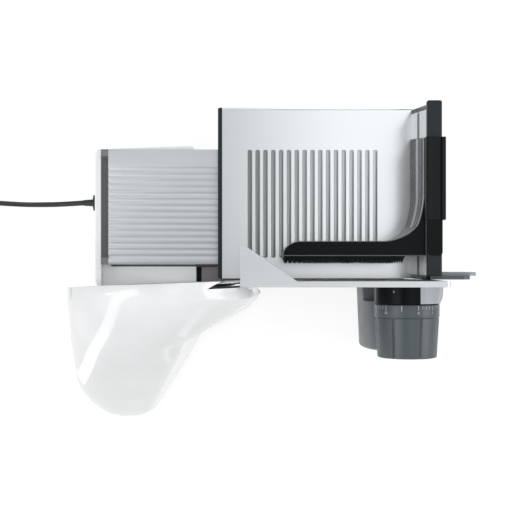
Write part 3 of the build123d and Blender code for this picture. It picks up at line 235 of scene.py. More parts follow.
class Finish(Graph):
    """One node material: a Principled shader and the procedural detail that feeds it."""

    def __init__(self, name, tone, roughness, metallic=0.0, specular=0.5, coat=0.0, edge=0.0004):
        self.material = bpy.data.materials.new(name)
        super().__init__(self.material)
        self.shader = self.tree.nodes["Principled BSDF"]
        self.tone = linear(tone)
        self.shader.inputs["Base Color"].default_value = self.tone
        self.shader.inputs["Roughness"].default_value = roughness
        self.shader.inputs["Metallic"].default_value = metallic
        self.shader.inputs["Specular IOR Level"].default_value = specular
        self.shader.inputs["Coat Weight"].default_value = coat
        self.shader.inputs["Coat Roughness"].default_value = 0.08
        softened = self.add("ShaderNodeBevel", {"Radius": edge})
        softened.samples = 4
        self.normal = softened.outputs["Normal"]
        self.join(self.normal, self.shader.inputs["Normal"])

    def noise(self, scale, detail, stretch=(1.0, 1.0, 1.0)):
        """Cloudy mask from 0 to 1 over metres, stretched along the axes."""
        where = self.add("ShaderNodeTexCoord")
        mapping = self.add("ShaderNodeMapping", {"Scale": stretch})
        cloud = self.add("ShaderNodeTexNoise", {"Scale": scale, "Detail": detail})
        self.join(where.outputs["Object"], mapping.inputs["Vector"])
        self.join(mapping.outputs["Vector"], cloud.inputs["Vector"])
        return cloud.outputs["Fac"]

    def shade(self, mask, low, high):
        """Vary the colour between two multiples of its tone."""
        ramp = self.add("ShaderNodeValToRGB")
        for end, position, multiple in zip(ramp.color_ramp.elements, MASK_ENDS, (low, high)):
            end.color = (*[min(1.0, c * multiple) for c in self.tone[:3]], 1.0)
            end.position = position
        self.join(mask, ramp.inputs["Fac"])
        self.join(ramp.outputs["Color"], self.shader.inputs["Base Color"])

    def gloss(self, mask, low, high):
        """Vary the roughness between two values."""
        self.join(self.span(mask, MASK_ENDS, (low, high)), self.shader.inputs["Roughness"])

    def relief(self, mask, depth, strength):
        """Fine relief of a depth in metres over the softened edges."""
        bump = self.add("ShaderNodeBump", {"Strength": strength, "Distance": depth})
        self.join(mask, bump.inputs["Height"])
        self.join(self.normal, bump.inputs["Normal"])
        self.join(bump.outputs["Normal"], self.shader.inputs["Normal"])


def moulded(name, tone, roughness, grain=0.00002, specular=0.5, coat=0.0):
    """Moulded plastic: a faint spark-eroded texture, slow changes of gloss and slightly uneven colour."""
    made = Finish(name, tone, roughness, specular=specular, coat=coat)
    made.shade(made.noise(26.0, 3.0), 0.96, 1.03)
    made.gloss(made.noise(90.0, 4.0), roughness * 0.85, roughness * 1.15)
    made.relief(made.noise(2600.0, 2.0), grain, 0.6)
    return made.material


def brushed(name, tone, roughness, stretch, contrast=0.05, depth=0.000004, metallic=1.0, spread=(0.85, 1.2)):
    """Brushed metal: long fine lines along the axis that is stretched least, if one is."""
    made = Finish(name, tone, roughness, metallic=metallic, edge=METAL_EDGE)
    lines = made.noise(1.0, 6.0, stretch)
    made.shade(lines, 1.0 - contrast, 1.0 + contrast)
    made.gloss(lines, roughness * spread[0], roughness * spread[1])
    made.relief(lines, depth, 0.4)
    return made.material


def ramped(name, tone, roughness, across, multiples, metallic):
    """Metal whose tone changes between two places along X; it carries painted shade."""
    made = Finish(name, tone, roughness, metallic=metallic, edge=METAL_EDGE)
    made.shade(made.along_x(across, MASK_ENDS), *multiples)
    made.gloss(made.noise(1.0, 4.0, ALONG_Y), roughness * 0.85, roughness * 1.2)
    return made.material


def make_finishes(tones):
    """The finish of each of the record's material slots, and the finishes of single pieces."""
    return {
        "white_gloss": moulded("white gloss shell", tones.white_shell, 0.12, grain=0.000001, coat=0.3),
        "anodised_aluminium": brushed("anodised aluminium", tones.aluminium, 0.40, ALONG_X, metallic=0.75),
        "stainless": brushed(
            "fine stainless sheet", tones.steel, 0.18, ALONG_Y, 0.006, 0.00000005, 0.65, spread=(0.97, 1.03)
        ),
        # Painted shade on the rib crowns: darker than the sheet, darkest towards the left
        "rib_painted_shade": ramped("embossed ribs with painted shade", tones.steel, 0.42, (-0.015, 0.105), (0.24, 0.80), metallic=0.4),
        # Grey for painted light on the boss and painted reflections on the pusher's panel
        "pale_grey": moulded("painted light grey", tones.pale_grey, 0.40, grain=0.000006, specular=0.4),
        "strip_plastic": moulded("strip plastic", tones.strip, 0.45, grain=0.000006, specular=0.4),
        # Painted shade in the table's grooves
        "groove_painted_shade": brushed("aluminium with painted groove shade", tones.groove, 0.50, ALONG_X, 0.03, metallic=0.5),
        "marking": moulded("painted marks", tones.marking, 0.45, grain=0.000001),
        # The base's white, painted lighter as light in its shade
        "base_gloss_painted_light": moulded("base shell painted lighter", tones.base_shell, 0.16, grain=0.000001, coat=0.2),
        "wall_steel": brushed("bright wall", tones.bright_steel, 0.10, ALONG_Y, 0.01, 0.0000004, 0.1),
        "rail_slate": moulded("dark slate plastic", tones.rail, 0.36, grain=0.000004, specular=0.2),
        "polished_steel": brushed("polished steel", tones.bright_steel, 0.12, ALONG_Y, 0.02, 0.0000005),
        "drive_steel": brushed("machined steel", tones.machined_steel, 0.34, ALL_WAYS),
        # Painted shade: brown-grey of the shade under the machine
        "painted_sheet": moulded("channel sheet, painted shade", tones.paint, 0.42, grain=0.000006, specular=0.4),
        "black_plastic": moulded("black plastic", tones.black, 0.27, grain=0.000001, specular=0.08),
        "cover_plastic": moulded("cover plastic", tones.black, 0.30, grain=0.000001, specular=0.16),
        "slate_plastic": moulded("slate plastic", tones.slate, 0.36, grain=0.000006),
        "grey_plastic": moulded("grey plastic", tones.grey, 0.40, grain=0.000006, specular=0.45),
        "smoke_plastic": moulded("smoke plastic", tones.smoke, 0.22, grain=0.000004),
        "gear_plastic": moulded("natural nylon", tones.nylon, 0.50),
        "bronze": brushed("sintered bronze", tones.bronze, 0.45, ALL_WAYS),
        "rubber": moulded("rubber", tones.rubber, 0.72, grain=0.00005, specular=0.3),
        "cord_black": moulded("cord rubber", tones.cord, 0.48, grain=0.00001, specular=0.4),
    }


def dress(piece, finish):
    """Give a piece one finish."""
    piece.data.materials.clear()
    piece.data.materials.append(finishes[finish])


def place(data, body, slot, finish=None, replaced=()):
    """Link a new piece under the name of its data, finish it and let it ride on a body."""
    piece = bpy.data.objects.new(data.name, data)
    bpy.context.scene.collection.objects.link(piece)
    dress(piece, finish or slot)
    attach(piece, body)
    if replaced:
        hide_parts(*replaced)
    return piece


OWN_FINISHES = {
    "pusher_rail": "rail_slate",
    "edge_trim": "rail_slate",
    "base_housing": "base_gloss_painted_light",
    "carriage_wall": "wall_steel",
    "table_end_strip": "strip_plastic",
}


class SLICER_OT_finishes(Operator):
    """Finish every piece of the frame in the material of its slot or in one of its own"""

    bl_idname = "slicer.finishes"
    bl_label = "Finishes"

    def execute(self, context):
        finishes.update(make_finishes(context.scene.slicer_colours))
        for subpart in frame["record"]["subparts"]:
            name = subpart["node"]
            dress(nodes[name], OWN_FINISHES.get(name, subpart["material_slot"]))
        return {"FINISHED"}


# Stage

COOL_WHITE = (0.97, 0.985, 1.0, 1.0)
FLOOR_TONE = (0.24, 0.24, 0.24, 1.0)
FLOOR_GLOW = 0.84
FLOOR_HALF, FLOOR_LEVEL = 6.0, -0.0004
OVERHEAD_HALF, OVERHEAD_LEVEL = 0.62, 1.30
OVERHEAD_ENDS, OVERHEAD_GLOW = (-0.16, 0.16), (0.40, 1.5)
SENSOR_WIDTH = 36.0
LIGHT_AIM = (0.0, 0.0, 0.08)

# Middle and reach of the cards that stand round a point
ROOM = ((0.0, 0.0, 0.0), 1.7)
TOWER = ((-0.13, -0.07, 0.15), 1.0)
CARD_FLOOR = 0.006
RIGHT_BAND_SHARE, LOW_CARD_SHARE = 0.7, 0.5

# Both edges of each card as (rise, bearing) in degrees, seen from the tower
LONG_CARD = [
    ((54, 126), (67, 237)),
    ((52, 140), (61, 231)),
    ((48, 154), (53, 230)),
    ((46, 170), (46, 232)),
    ((44, 189), (35, 236)),
    ((35, 214), (24, 244)),
    ((13, 233), (4, 252)),
    ((-6, 236), (-11, 252)),
    ((-23, 230), (-24, 247)),
    ((-44, 213), (-41, 232)),
]
LOW_CARD = [
    ((5, 311), (-4, 316)),
    ((-7, 299), (-15, 306)),
    ((-20, 296), (-30, 305)),
    ((-35, 299), (-46, 312)),
]


def band(rises, bearings, steps=12):
    """Edges of an upright card between two rises and two bearings."""
    turns = [bearings[0] + (bearings[1] - bearings[0]) * step / steps for step in range(steps + 1)]
    return [tuple((rise, turn) for rise in rises) for turn in turns]


def make_world(ambient):
    """An even white surround, dimmer as a light than as a background."""
    world = bpy.data.worlds.new("studio")
    bpy.context.scene.world = world
    graph = Graph(world)
    light = graph.tree.nodes["Background"]
    light.inputs["Color"].default_value = COOL_WHITE
    light.inputs["Strength"].default_value = ambient
    backdrop = graph.add("ShaderNodeBackground", {"Color": WHITE})
    mix = graph.add("ShaderNodeMixShader")
    graph.join(graph.seen_directly(), mix.inputs["Fac"])
    graph.join(light.outputs["Background"], mix.inputs[1])
    graph.join(backdrop.outputs["Background"], mix.inputs[2])
    graph.join(mix.outputs["Shader"], graph.tree.nodes["World Output"].inputs["Surface"])


def stage_sheet(name, points, faces):
    """A thin sheet that belongs to the stage."""
    mesh = bpy.data.meshes.new(name)
    mesh.from_pydata(points, [], faces)
    sheet = bpy.data.objects.new(name, mesh)
    bpy.context.scene.collection.objects.link(sheet)
    return sheet


def level_square(name, half, level):
    """A level square about the middle of the stage."""
    corners = [(-half, -half, level), (half, -half, level), (half, half, level), (-half, half, level)]
    return stage_sheet(name, corners, [(0, 1, 2, 3)])


def make_floor():
    """A pale floor that is white to the eye and keeps a faint shadow."""
    floor = level_square("floor", FLOOR_HALF, FLOOR_LEVEL)
    material = bpy.data.materials.new("pale floor")
    graph = Graph(material)
    shader = graph.tree.nodes["Principled BSDF"]
    shader.inputs["Base Color"].default_value = FLOOR_TONE
    shader.inputs["Roughness"].default_value = 0.9
    shader.inputs["Specular IOR Level"].default_value = 0.0
    shader.inputs["Emission Color"].default_value = WHITE
    glow = graph.add("ShaderNodeMath", {1: FLOOR_GLOW})
    glow.operation = "MULTIPLY"
    graph.join(graph.seen_directly(), glow.inputs[0])
    graph.join(glow.outputs["Value"], shader.inputs["Emission Strength"])
    floor.data.materials.append(material)


def make_card(card, strength, across=None):
    """Let a sheet glow for glossy surfaces alone, evenly or from one strength to another along X."""
    material = bpy.data.materials.new(card.name)
    graph = Graph(material)
    graph.tree.nodes.remove(graph.tree.nodes["Principled BSDF"])
    glow = graph.add("ShaderNodeEmission")
    graph.join(glow.outputs["Emission"], graph.tree.nodes["Material Output"].inputs["Surface"])
    if across:
        graph.join(graph.along_x(across, strength), glow.inputs["Strength"])
    else:
        glow.inputs["Strength"].default_value = strength
    card.data.materials.append(material)
    card.visible_camera = False
    card.visible_diffuse = False
    card.visible_shadow = False
    card.visible_transmission = False


def make_ribbon(name, middle, reach, edges, strength):
    """A curved card between two edges round a point, for a highlight on gloss."""
    points = []
    for pair in edges:
        for rise, bearing in pair:
            flat = cos(radians(rise))
            ray = Vector((flat * cos(radians(bearing)), flat * sin(radians(bearing)), sin(radians(rise))))
            to_floor = (middle[2] - CARD_FLOOR) / -ray.z if ray.z < 0.0 else reach
            points.append(Vector(middle) + ray * min(reach, to_floor))
    faces = [(2 * step, 2 * step + 2, 2 * step + 3, 2 * step + 1) for step in range(len(edges) - 1)]
    make_card(stage_sheet(name, points, faces), strength)


def softbox(name, where, aim, size, power, mirrored=False):
    """A rectangular area light that faces a point and that gloss may mirror."""
    lamp = bpy.data.lights.new(name, "AREA")
    lamp.shape = "RECTANGLE"
    lamp.size, lamp.size_y = size
    lamp.energy = power
    light = bpy.data.objects.new(name, lamp)
    light.location = where
    light.rotation_euler = (Vector(aim) - Vector(where)).to_track_quat("-Z", "Y").to_euler()
    light.visible_glossy = mirrored
    bpy.context.scene.collection.objects.link(light)


def make_camera(stage):
    """The photograph's view, straight down."""
    lens = bpy.data.cameras.new("camera")
    lens.sensor_width = SENSOR_WIDTH
    lens.lens = stage.lens
    camera = bpy.data.objects.new("camera", lens)
    camera.location = (0.0, stage.camera_shift, stage.camera_height)
    bpy.context.scene.collection.objects.link(camera)
    bpy.context.scene.camera = camera


class SLICER_OT_stage(Operator):
    """Set up the camera, the floor and the studio light"""

    bl_idname = "slicer.stage"
    bl_label = "Stage"

    def execute(self, context):
        stage = context.scene.slicer_stage
        context.scene.view_settings.view_transform = "Standard"
        make_camera(stage)
        make_world(stage.ambient)
        make_floor()
        make_card(level_square("overhead_card", OVERHEAD_HALF, OVERHEAD_LEVEL), OVERHEAD_GLOW, OVERHEAD_ENDS)
        left_band, right_band = band((33.0, 43.0), (174.0, 184.0)), band((34.0, 42.0), (354.0, 366.0))
        make_ribbon("left_band", *ROOM, left_band, stage.band_glow)
        make_ribbon("right_band", *ROOM, right_band, stage.band_glow * RIGHT_BAND_SHARE)
        make_ribbon("long_card", *TOWER, LONG_CARD, stage.ribbon_glow)
        make_ribbon("low_card", *TOWER, LOW_CARD, stage.ribbon_glow * LOW_CARD_SHARE)
        softbox("top_softbox", (-0.10, 0.25, 1.35), (-0.05, 0.0, 0.08), (0.5, 0.5), stage.top_power)
        softbox("left_softbox", (-1.25, -0.25, 0.70), LIGHT_AIM, (0.9, 0.7), stage.side_power)
        softbox("front_softbox", (-0.20, -1.30, 0.75), LIGHT_AIM, (0.9, 0.6), stage.front_power)
        softbox("right_softbox", (1.25, -0.20, 0.62), LIGHT_AIM, (0.9, 0.7), stage.side_power, mirrored=True)
        return {"FINISHED"}


# Ways to form a mesh


def solid(name, points, faces, crease=35.0):
    """A closed mesh with smooth faces, creased where they meet at more than an angle."""
    mesh = bpy.data.meshes.new(name)
    mesh.from_pydata(points, [], faces)
    work = bmesh.new()
    work.from_mesh(mesh)
    bmesh.ops.recalc_face_normals(work, faces=work.faces)
    work.to_mesh(mesh)
    work.free()
    mesh.shade_smooth()
    mesh.set_sharp_from_angle(angle=radians(crease))
    return mesh


def layers(rings):
    """Points and faces of a solid through closed rings of as many points each."""
    around = len(rings[0])
    points = [point for ring in rings for point in ring]
    faces = [tuple(range(around)), tuple(range(len(points) - around, len(points)))]
    for layer in range(len(rings) - 1):
        for index in range(around):
            after = (index + 1) % around
            low, high = layer * around, (layer + 1) * around
            faces.append((low + index, low + after, high + after, high + index))
    return points, faces


def joined(parts):
    """Points and faces of several solids as those of one."""
    points, faces = [], []
    for more_points, more_faces in parts:
        corner = len(points)
        points += more_points
        faces += [tuple(corner + index for index in face) for face in more_faces]
    return points, faces


def prism(name, outline, axis, span, crease=35.0):
    """A solid of one outline along X or Y; the outline lists the other two coordinates in order."""
    if axis == "X":
        rings = [[(end, a, b) for a, b in outline] for end in span]
    else:
        rings = [[(a, end, b) for a, b in outline] for end in span]
    return solid(name, *layers(rings), crease)


def even_turn(steps):
    """Angles at even steps round a circle."""
    return [tau * step / steps for step in range(steps)]


def on_turn(middle, radius, polar, along):
    """A point round an axis along Y."""
    return (middle[0] + radius * cos(polar), along, middle[2] + radius * sin(polar))


def stepped(start, steps):
    """Points of an outline at steps from a start."""
    return [(start[0] + first, start[1] + second) for first, second in steps]


def smooth_path(points, steps=4):
    """A flat curve through points that starts along X and ends along Y."""
    knots = [Vector(point) for point in points]
    start, end = (knots[1] - knots[0]).length, (knots[-1] - knots[-2]).length
    slopes = [(after - before) / 2 for before, after in zip(knots, knots[2:])]
    slopes = [Vector((start, 0.0)), *slopes, Vector((0.0, end))]
    path = knots[:1]
    for (first, first_slope), (last, last_slope) in zip(zip(knots, slopes), zip(knots[1:], slopes[1:])):
        path += interpolate_bezier(first, first + first_slope / 3, last - last_slope / 3, last, steps + 1)[1:]
    return path


def round_line(name, path, radius, kind="POLY", roundness=3):
    """A round line along a path."""
    curve = bpy.data.curves.new(name, "CURVE")
    curve.dimensions = "3D"
    spline = curve.splines.new(kind)
    spline.points.add(len(path) - 1)
    for control, point in zip(spline.points, path):
        control.co = (*point, 1.0)
    curve.bevel_depth = radius
    curve.bevel_resolution = roundness
    curve.use_fill_caps = True
    return curve


# Tables

TABLE_EDGE = 0.0005
TABLE_LAND = 0.0004
TABLE_RIB_STEPS, TABLE_RIB_POWER = 14, 2.4
# Depth range and levelness of the groove faces that take the painted shade
GROOVE_TOP, GROOVE_BOTTOM, GROOVE_FLATNESS = 0.42, 1.1, 0.2
RIB_STEPS = [0.2, 0.42, 0.64, 0.82, 0.94, 1.0]
RIB_FOOT = 0.03


class SLICER_OT_ribbed_table(Operator):
    """Form the rounded ribs of the aluminium table"""

    bl_idname = "slicer.ribbed_table"
    bl_label = "Ribbed table"

    def execute(self, context):
        sizes = context.scene.slicer_sizes
        low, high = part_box("ribbed_table")
        pitch, depth = sizes.table_rib_pitch, sizes.table_rib_depth
        first = low.y + sizes.table_rib_front
        end = first + pitch * (sizes.table_rib_count - 1) + pitch / 2
        shoulder = high.z - TABLE_EDGE
        outline = [(high.y, low.z), (low.y, low.z), (low.y, shoulder), (low.y + TABLE_EDGE, high.z)]
        for step in range(TABLE_RIB_STEPS * sizes.table_rib_count + 1):
            y = first - pitch / 2 + pitch * step / TABLE_RIB_STEPS
            hollow = abs(cos(pi * (y - first) / pitch)) ** TABLE_RIB_POWER
            outline.append((y, high.z - depth * hollow))
        outline += [(end + TABLE_LAND, high.z), (high.y - TABLE_EDGE, high.z), (high.y, shoulder)]
        table = prism("ribbed_extrusion", outline, "X", (low.x, high.x), crease=50.0)
        place(table, "root", "anodised_aluminium", replaced=("ribbed_table",))
        # Faces sunk in the grooves take the painted shade
        table.materials.append(finishes["groove_painted_shade"])
        for face in table.polygons:
            sunk = (high.z - face.center.z) / depth
            if face.normal.z > GROOVE_FLATNESS and GROOVE_TOP < sunk < GROOVE_BOTTOM:
                face.material_index = 1
        return {"FINISHED"}


class SLICER_OT_carriage_table(Operator):
    """Emboss the half-round ribs of the carriage sheet"""

    bl_idname = "slicer.carriage_table"
    bl_label = "Carriage table"

    def execute(self, context):
        sizes = context.scene.slicer_sizes
        low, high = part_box("carriage_table")
        half, rise = sizes.sheet_rib_width / 2, sizes.sheet_rib_height
        level = high.z - rise
        bend = (half**2 + rise**2) / (2 * rise)
        middles = [
            sizes.sheet_rib_middle + sizes.sheet_rib_pitch * (index - (sizes.sheet_rib_count - 1) / 2)
            for index in range(sizes.sheet_rib_count)
        ]
        before = [-step for step in reversed(RIB_STEPS)]
        across_rib = [*before, 0.0, *RIB_STEPS]
        rear, front = sizes.sheet_rib_rear - half, sizes.sheet_rib_front + half
        columns = [low.x, *[middle + half * step for middle in middles for step in across_rib], high.x]
        rows = [low.y, *[front + half * step for step in (*before, 0.0)]]
        rows += [*[rear + half * step for step in (0.0, *RIB_STEPS)], high.y]

        def lift(x, y):
            beside = min(abs(x - middle) for middle in middles)
            beyond = max(front - y, y - rear, 0.0)
            away = min((beside**2 + beyond**2) ** 0.5, half)
            return level + (bend**2 - away**2) ** 0.5 - (bend - rise)

        points = [(x, y, lift(x, y)) for y in rows for x in columns]
        across, along = len(columns), len(rows)
        faces = []
        for row in range(along - 1):
            for column in range(across - 1):
                corner = row * across + column
                faces.append((corner, corner + 1, corner + across + 1, corner + across))
        rim = [*range(across), *range(2 * across - 1, along * across, across)]
        rim += [*range(along * across - 2, (along - 1) * across - 1, -1)]
        rim += [*range((along - 2) * across, 0, -across)]
        base = len(points)
        points += [(points[index][0], points[index][1], low.z) for index in rim]
        for index in range(len(rim)):
            after = (index + 1) % len(rim)
            faces.append((rim[index], rim[after], base + after, base + index))
        faces.append(tuple(range(base, base + len(rim))))
        sheet = solid("carriage_sheet", points, faces, crease=40.0)
        place(sheet, "carriage", "stainless", replaced=("carriage_table",))
        # The raised rib faces take the painted shade
        sheet.materials.append(finishes["rib_painted_shade"])
        for face in sheet.polygons:
            raised = face.center.z > level + rise * RIB_FOOT
            face.material_index = 1 if raised else 0
            face.use_smooth = raised
        return {"FINISHED"}


# Dial, boss and foot

# Edges of the dial as steps of (along, radius) from its rear end, the front of its band and its front end
DIAL_REAR = [(0.0, -0.0006), (-0.0004, -0.0001), (-0.0010, 0.0)]
DIAL_STEP = [(0.0006, 0.0), (0.0002, -0.0002), (0.0, -0.0008), (-0.0004, -0.0008), (-0.0008, -0.0004)]
DIAL_FRONT = [(0.0014, 0.0), (0.0005, -0.0003), (0.0, -0.0012)]
DIAL_TURN_STEPS = 560
GRIP_START = 0.0006

# Lines of the scale as (length, width)
LONG_LINE, SHORT_LINE, ZERO_LINE = (0.0046, 0.00042), (0.0032, 0.0003), (0.0050, 0.0005)
LINE_INSET, LINE_RISE = 0.0008, (-0.0002, 0.00008)
LINES_PER_NUMBER = 4
NUMERAL_INSET, NUMERAL_RISE = 0.0074, 0.0001


def dial_axis():
    """The middle of the dial across its axis."""
    low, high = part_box("dial_knob")
    return ((low.x + high.x) / 2, 0.0, (low.z + high.z) / 2)


def numeral(text, size):
    """Points and faces of a small raised numeral, flat on X and Y."""
    letters = bpy.data.curves.new("numeral", "FONT")
    letters.body = text
    letters.size = size
    letters.extrude = NUMERAL_RISE
    letters.align_x, letters.align_y = "CENTER", "CENTER"
    letters.resolution_u = 3
    holder = bpy.data.objects.new("numeral", letters)
    mesh = bpy.data.meshes.new_from_object(holder)
    points = [tuple(vertex.co) for vertex in mesh.vertices]
    faces = [tuple(face.vertices) for face in mesh.polygons]
    bpy.data.meshes.remove(mesh)
    bpy.data.objects.remove(holder)
    bpy.data.curves.remove(letters)
    return points, faces


class SLICER_OT_dial(Operator):
    """Turn the thickness dial with its grip grooves and paint its scale"""

    bl_idname = "slicer.dial"
    bl_label = "Thickness dial"

    def execute(self, context):
        sizes = context.scene.slicer_sizes
        low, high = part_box("dial_knob")
        middle = dial_axis()
        radius = (high.z - low.z) / 2
        start, end = high.y, low.y
        step = start - sizes.dial_band
        first_groove = radians(sizes.dial_groove_place)
        grooves = [first_groove + tau * index / sizes.dial_grooves for index in range(sizes.dial_grooves)]

        def dent(along, angle):
            if along > step - GRIP_START:
                return 0.0
            off = min(abs((angle - groove + pi) % tau - pi) for groove in grooves) * radius
            return sizes.dial_groove_depth * max(0.0, cos(min(1.0, off / sizes.dial_groove_width) * pi / 2))

        profile = stepped((start, radius), DIAL_REAR) + stepped((step, radius), DIAL_STEP)
        profile += stepped((end, sizes.dial_front_radius), DIAL_FRONT)
        turn = even_turn(DIAL_TURN_STEPS)
        rings = [
            [on_turn(middle, reach - dent(along, angle), angle, along) for angle in turn]
            for along, reach in profile
        ]
        knob = solid("thickness_knob", *layers(rings), crease=45.0)
        place(knob, "dial", "slate_plastic", replaced=("dial_knob",))
        places = [radians(sizes.dial_scale_start - sizes.dial_tick_step * i) for i in range(sizes.dial_ticks)]
        marks = [
            (polar, LONG_LINE if index % LINES_PER_NUMBER == 0 else SHORT_LINE)
            for index, polar in enumerate(places)
        ]
        marks.append((radians(sizes.dial_zero), ZERO_LINE))
        top = start - LINE_INSET
        parts = []
        for polar, (reach, width) in marks:
            half = width / 2 / radius
            corners = ((-half, top), (half, top), (half, top - reach), (-half, top - reach))
            parts.append(layers([
                [on_turn(middle, radius + rise, polar + side, along) for side, along in corners]
                for rise in LINE_RISE
            ]))
        for value, polar in enumerate(places[::LINES_PER_NUMBER]):
            flat_points, faces = numeral(str(value), sizes.dial_numeral)
            points = [
                on_turn(middle, radius + rise, polar - across / radius, start - NUMERAL_INSET + up)
                for across, up, rise in flat_points
            ]
            parts.append((points, faces))
        place(solid("dial_scale", *joined(parts)), "dial", "white_gloss", "marking")
        return {"FINISHED"}


BOSS_WALL, BOSS_EDGE, BOSS_CHEEK = 0.0015, 0.0004, 0.0035
BOSS_SLEEVE, BOSS_SLEEVE_WALL = 0.0220, 0.002
BOSS_FRONT_GAP = 0.0004
BOSS_START, BOSS_END, BOSS_STEP = -68, 248, 2

# The boss's side painted light, as (angle in degrees, rise above the boss), flared below an angle
BOSS_PAINTED_LIGHT = [
    (74.0, 0.0002),
    (66.0, 0.0010),
    (65.0, 0.0011),
    (46.0, 0.0014),
    (45.0, 0.0014),
    (36.0, 0.0002),
    (10.0, 0.0002),
    (-12.0, 0.0002),
]
FLARE_BELOW, SIDE_FLARES = 40.0, (0.0035, 0.0024, 0.0004)
SIDE_REAR, SIDE_BEND, SIDE_SINK = 0.0002, 0.0052, 0.0008
POINTER_RADIUS, POINTER_INSET, POINTER_RISE = 0.0011, 0.0058, (-0.0003, 0.0002)


class SLICER_OT_dial_boss(Operator):
    """Form the boss behind the dial, with a side of painted light"""

    bl_idname = "slicer.dial_boss"
    bl_label = "Dial boss"

    def execute(self, context):
        sizes = context.scene.slicer_sizes
        low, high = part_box("dial_boss")
        middle = dial_axis()
        radius = sizes.boss_radius
        rear, front = high.y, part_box("dial_knob")[1].y + BOSS_FRONT_GAP
        inner, bore = radius - BOSS_WALL, BOSS_SLEEVE - BOSS_SLEEVE_WALL
        profile = [
            (rear, inner),
            (rear, radius),
            (front + BOSS_EDGE, radius),
            (front, radius - BOSS_EDGE),
            (front, BOSS_SLEEVE),
            (low.y, BOSS_SLEEVE),
            (low.y, bore),
            (front + BOSS_CHEEK, bore),
            (front + BOSS_CHEEK, inner),
        ]
        rings = [
            [on_turn(middle, reach, radians(angle), along) for along, reach in profile]
            for angle in range(BOSS_START, BOSS_END + 1, BOSS_STEP)
        ]
        shell = solid("boss_shell", *layers(rings))
        place(shell, "stop_plate", "slate_plastic", "black_plastic", replaced=("dial_boss",))
        # A pale cover on the boss's upper right side: painted light
        stations = (rear - SIDE_REAR, front + SIDE_BEND, front + BOSS_EDGE)
        rings = []
        for along, flare in zip(stations, SIDE_FLARES):
            ring = []
            for polar, rise in BOSS_PAINTED_LIGHT:
                reach = radius + rise + (flare if polar < FLARE_BELOW else 0.0)
                ring.append(on_turn(middle, reach, radians(polar), along))
            for polar, rise in reversed(BOSS_PAINTED_LIGHT):
                ring.append(on_turn(middle, radius - SIDE_SINK, radians(polar), along))
            rings.append(ring)
        place(solid("boss_painted_light", *layers(rings), crease=20.0), "stop_plate", "grey_plastic", "pale_grey")
        polar, along = radians(sizes.pointer_place), rear - POINTER_INSET
        outline = [
            (polar + POINTER_RADIUS * cos(turn) / radius, along + POINTER_RADIUS * sin(turn))
            for turn in even_turn(20)
        ]
        rings = [[on_turn(middle, radius + rise, *spot) for spot in outline] for rise in POINTER_RISE]
        place(solid("scale_pointer", *layers(rings)), "stop_plate", "grey_plastic")
        return {"FINISHED"}


FOOT_BOTTOM, FOOT_CROWN = 0.003, 0.002
FOOT_LEFT_ROUND, FOOT_RIGHT_ROUND = 0.0135, 0.0100
FOOT_ROUND_STEPS = 15
PIN_GAP = 0.0004

# Insets of the foot's sides at its rear end and how much they grow towards its front end
FOOT_LEFT, FOOT_RIGHT = (0.0031, 0.0028), (0.0015, 0.0010)

# The foot's front end as (distance from the end, how much the section shrinks)
FOOT_END = [(0.004, 0.0), (0.0015, 0.0006), (0.0, 0.0024)]


def foot_section(left, right, top, grooves=()):
    """Section of the dial foot: rounded shoulders, with grooves from above."""
    turns = [pi / 2 * step / FOOT_ROUND_STEPS for step in range(FOOT_ROUND_STEPS + 1)]
    rounds = [(1 - cos(turn), FOOT_BOTTOM + (top - FOOT_BOTTOM) * sin(turn)) for turn in turns]
    edge = [(left + FOOT_LEFT_ROUND * inset, z) for inset, z in rounds]
    for start, end, depth in grooves:
        edge += [(start, top), (start, depth), (end, depth), (end, top)]
    return edge + [(right - FOOT_RIGHT_ROUND * inset, z) for inset, z in reversed(rounds)]


class SLICER_OT_dial_foot(Operator):
    """Shape the rounded foot under the dial"""

    bl_idname = "slicer.dial_foot"
    bl_label = "Dial foot"

    def execute(self, context):
        sizes = context.scene.slicer_sizes
        low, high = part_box("dial_foot")
        pins_low, pins_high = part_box("guide_pins")
        width = pins_high.z - pins_low.z + 2 * PIN_GAP
        depth = pins_low.z - PIN_GAP
        left_groove, right_groove = pins_low.x - PIN_GAP, pins_high.x + PIN_GAP
        grooves = [(left_groove, left_groove + width, depth), (right_groove - width, right_groove, depth)]
        top = high.z - FOOT_CROWN

        def ring(along, shrink=0.0, cuts=(), ledge=high.z):
            slide = (high.y - along) / (high.y - low.y)
            left = low.x + FOOT_LEFT[0] + FOOT_LEFT[1] * slide + shrink
            right = high.x - FOOT_RIGHT[0] - FOOT_RIGHT[1] * slide - shrink
            return [(x, along, min(z, ledge)) for x, z in foot_section(left, right, top - shrink, cuts)]

        runs = [
            [ring(high.y, ledge=sizes.foot_ledge), ring(sizes.foot_step, ledge=sizes.foot_ledge)],
            [ring(sizes.foot_step, cuts=grooves), ring(sizes.foot_cap, cuts=grooves)],
            [ring(sizes.foot_cap), *[ring(low.y + inset, shrink) for inset, shrink in FOOT_END]],
        ]
        foot = solid("rounded_foot", *joined([layers(rings) for rings in runs]))
        place(foot, "root", "grey_plastic", replaced=("dial_foot",))
        return {"FINISHED"}


# Tower

TOWER_ORIGIN = (0.001, -0.0126)
TOWER_TOE = radians(2.0)

# The right side's outline at the foot as (depth behind the blade, place across), with a clear corner
TOWER_EDGE = [
    (0.0060, -0.0050),
    (0.0130, -0.0050),
    (0.0200, -0.0098),
    (0.0289, -0.0193),
    (0.0437, -0.0473),
    (0.0530, -0.0668),
    (0.0560, -0.0697),
    (0.0690, -0.0776),
    (0.0989, -0.0970),
    (0.1285, -0.1182),
    (0.1332, -0.1276),
]
EDGE_SAMPLES = 220
EDGE_BLEND = -0.150
EDGE_FADE_START, EDGE_FADE_END = 0.008, 0.004

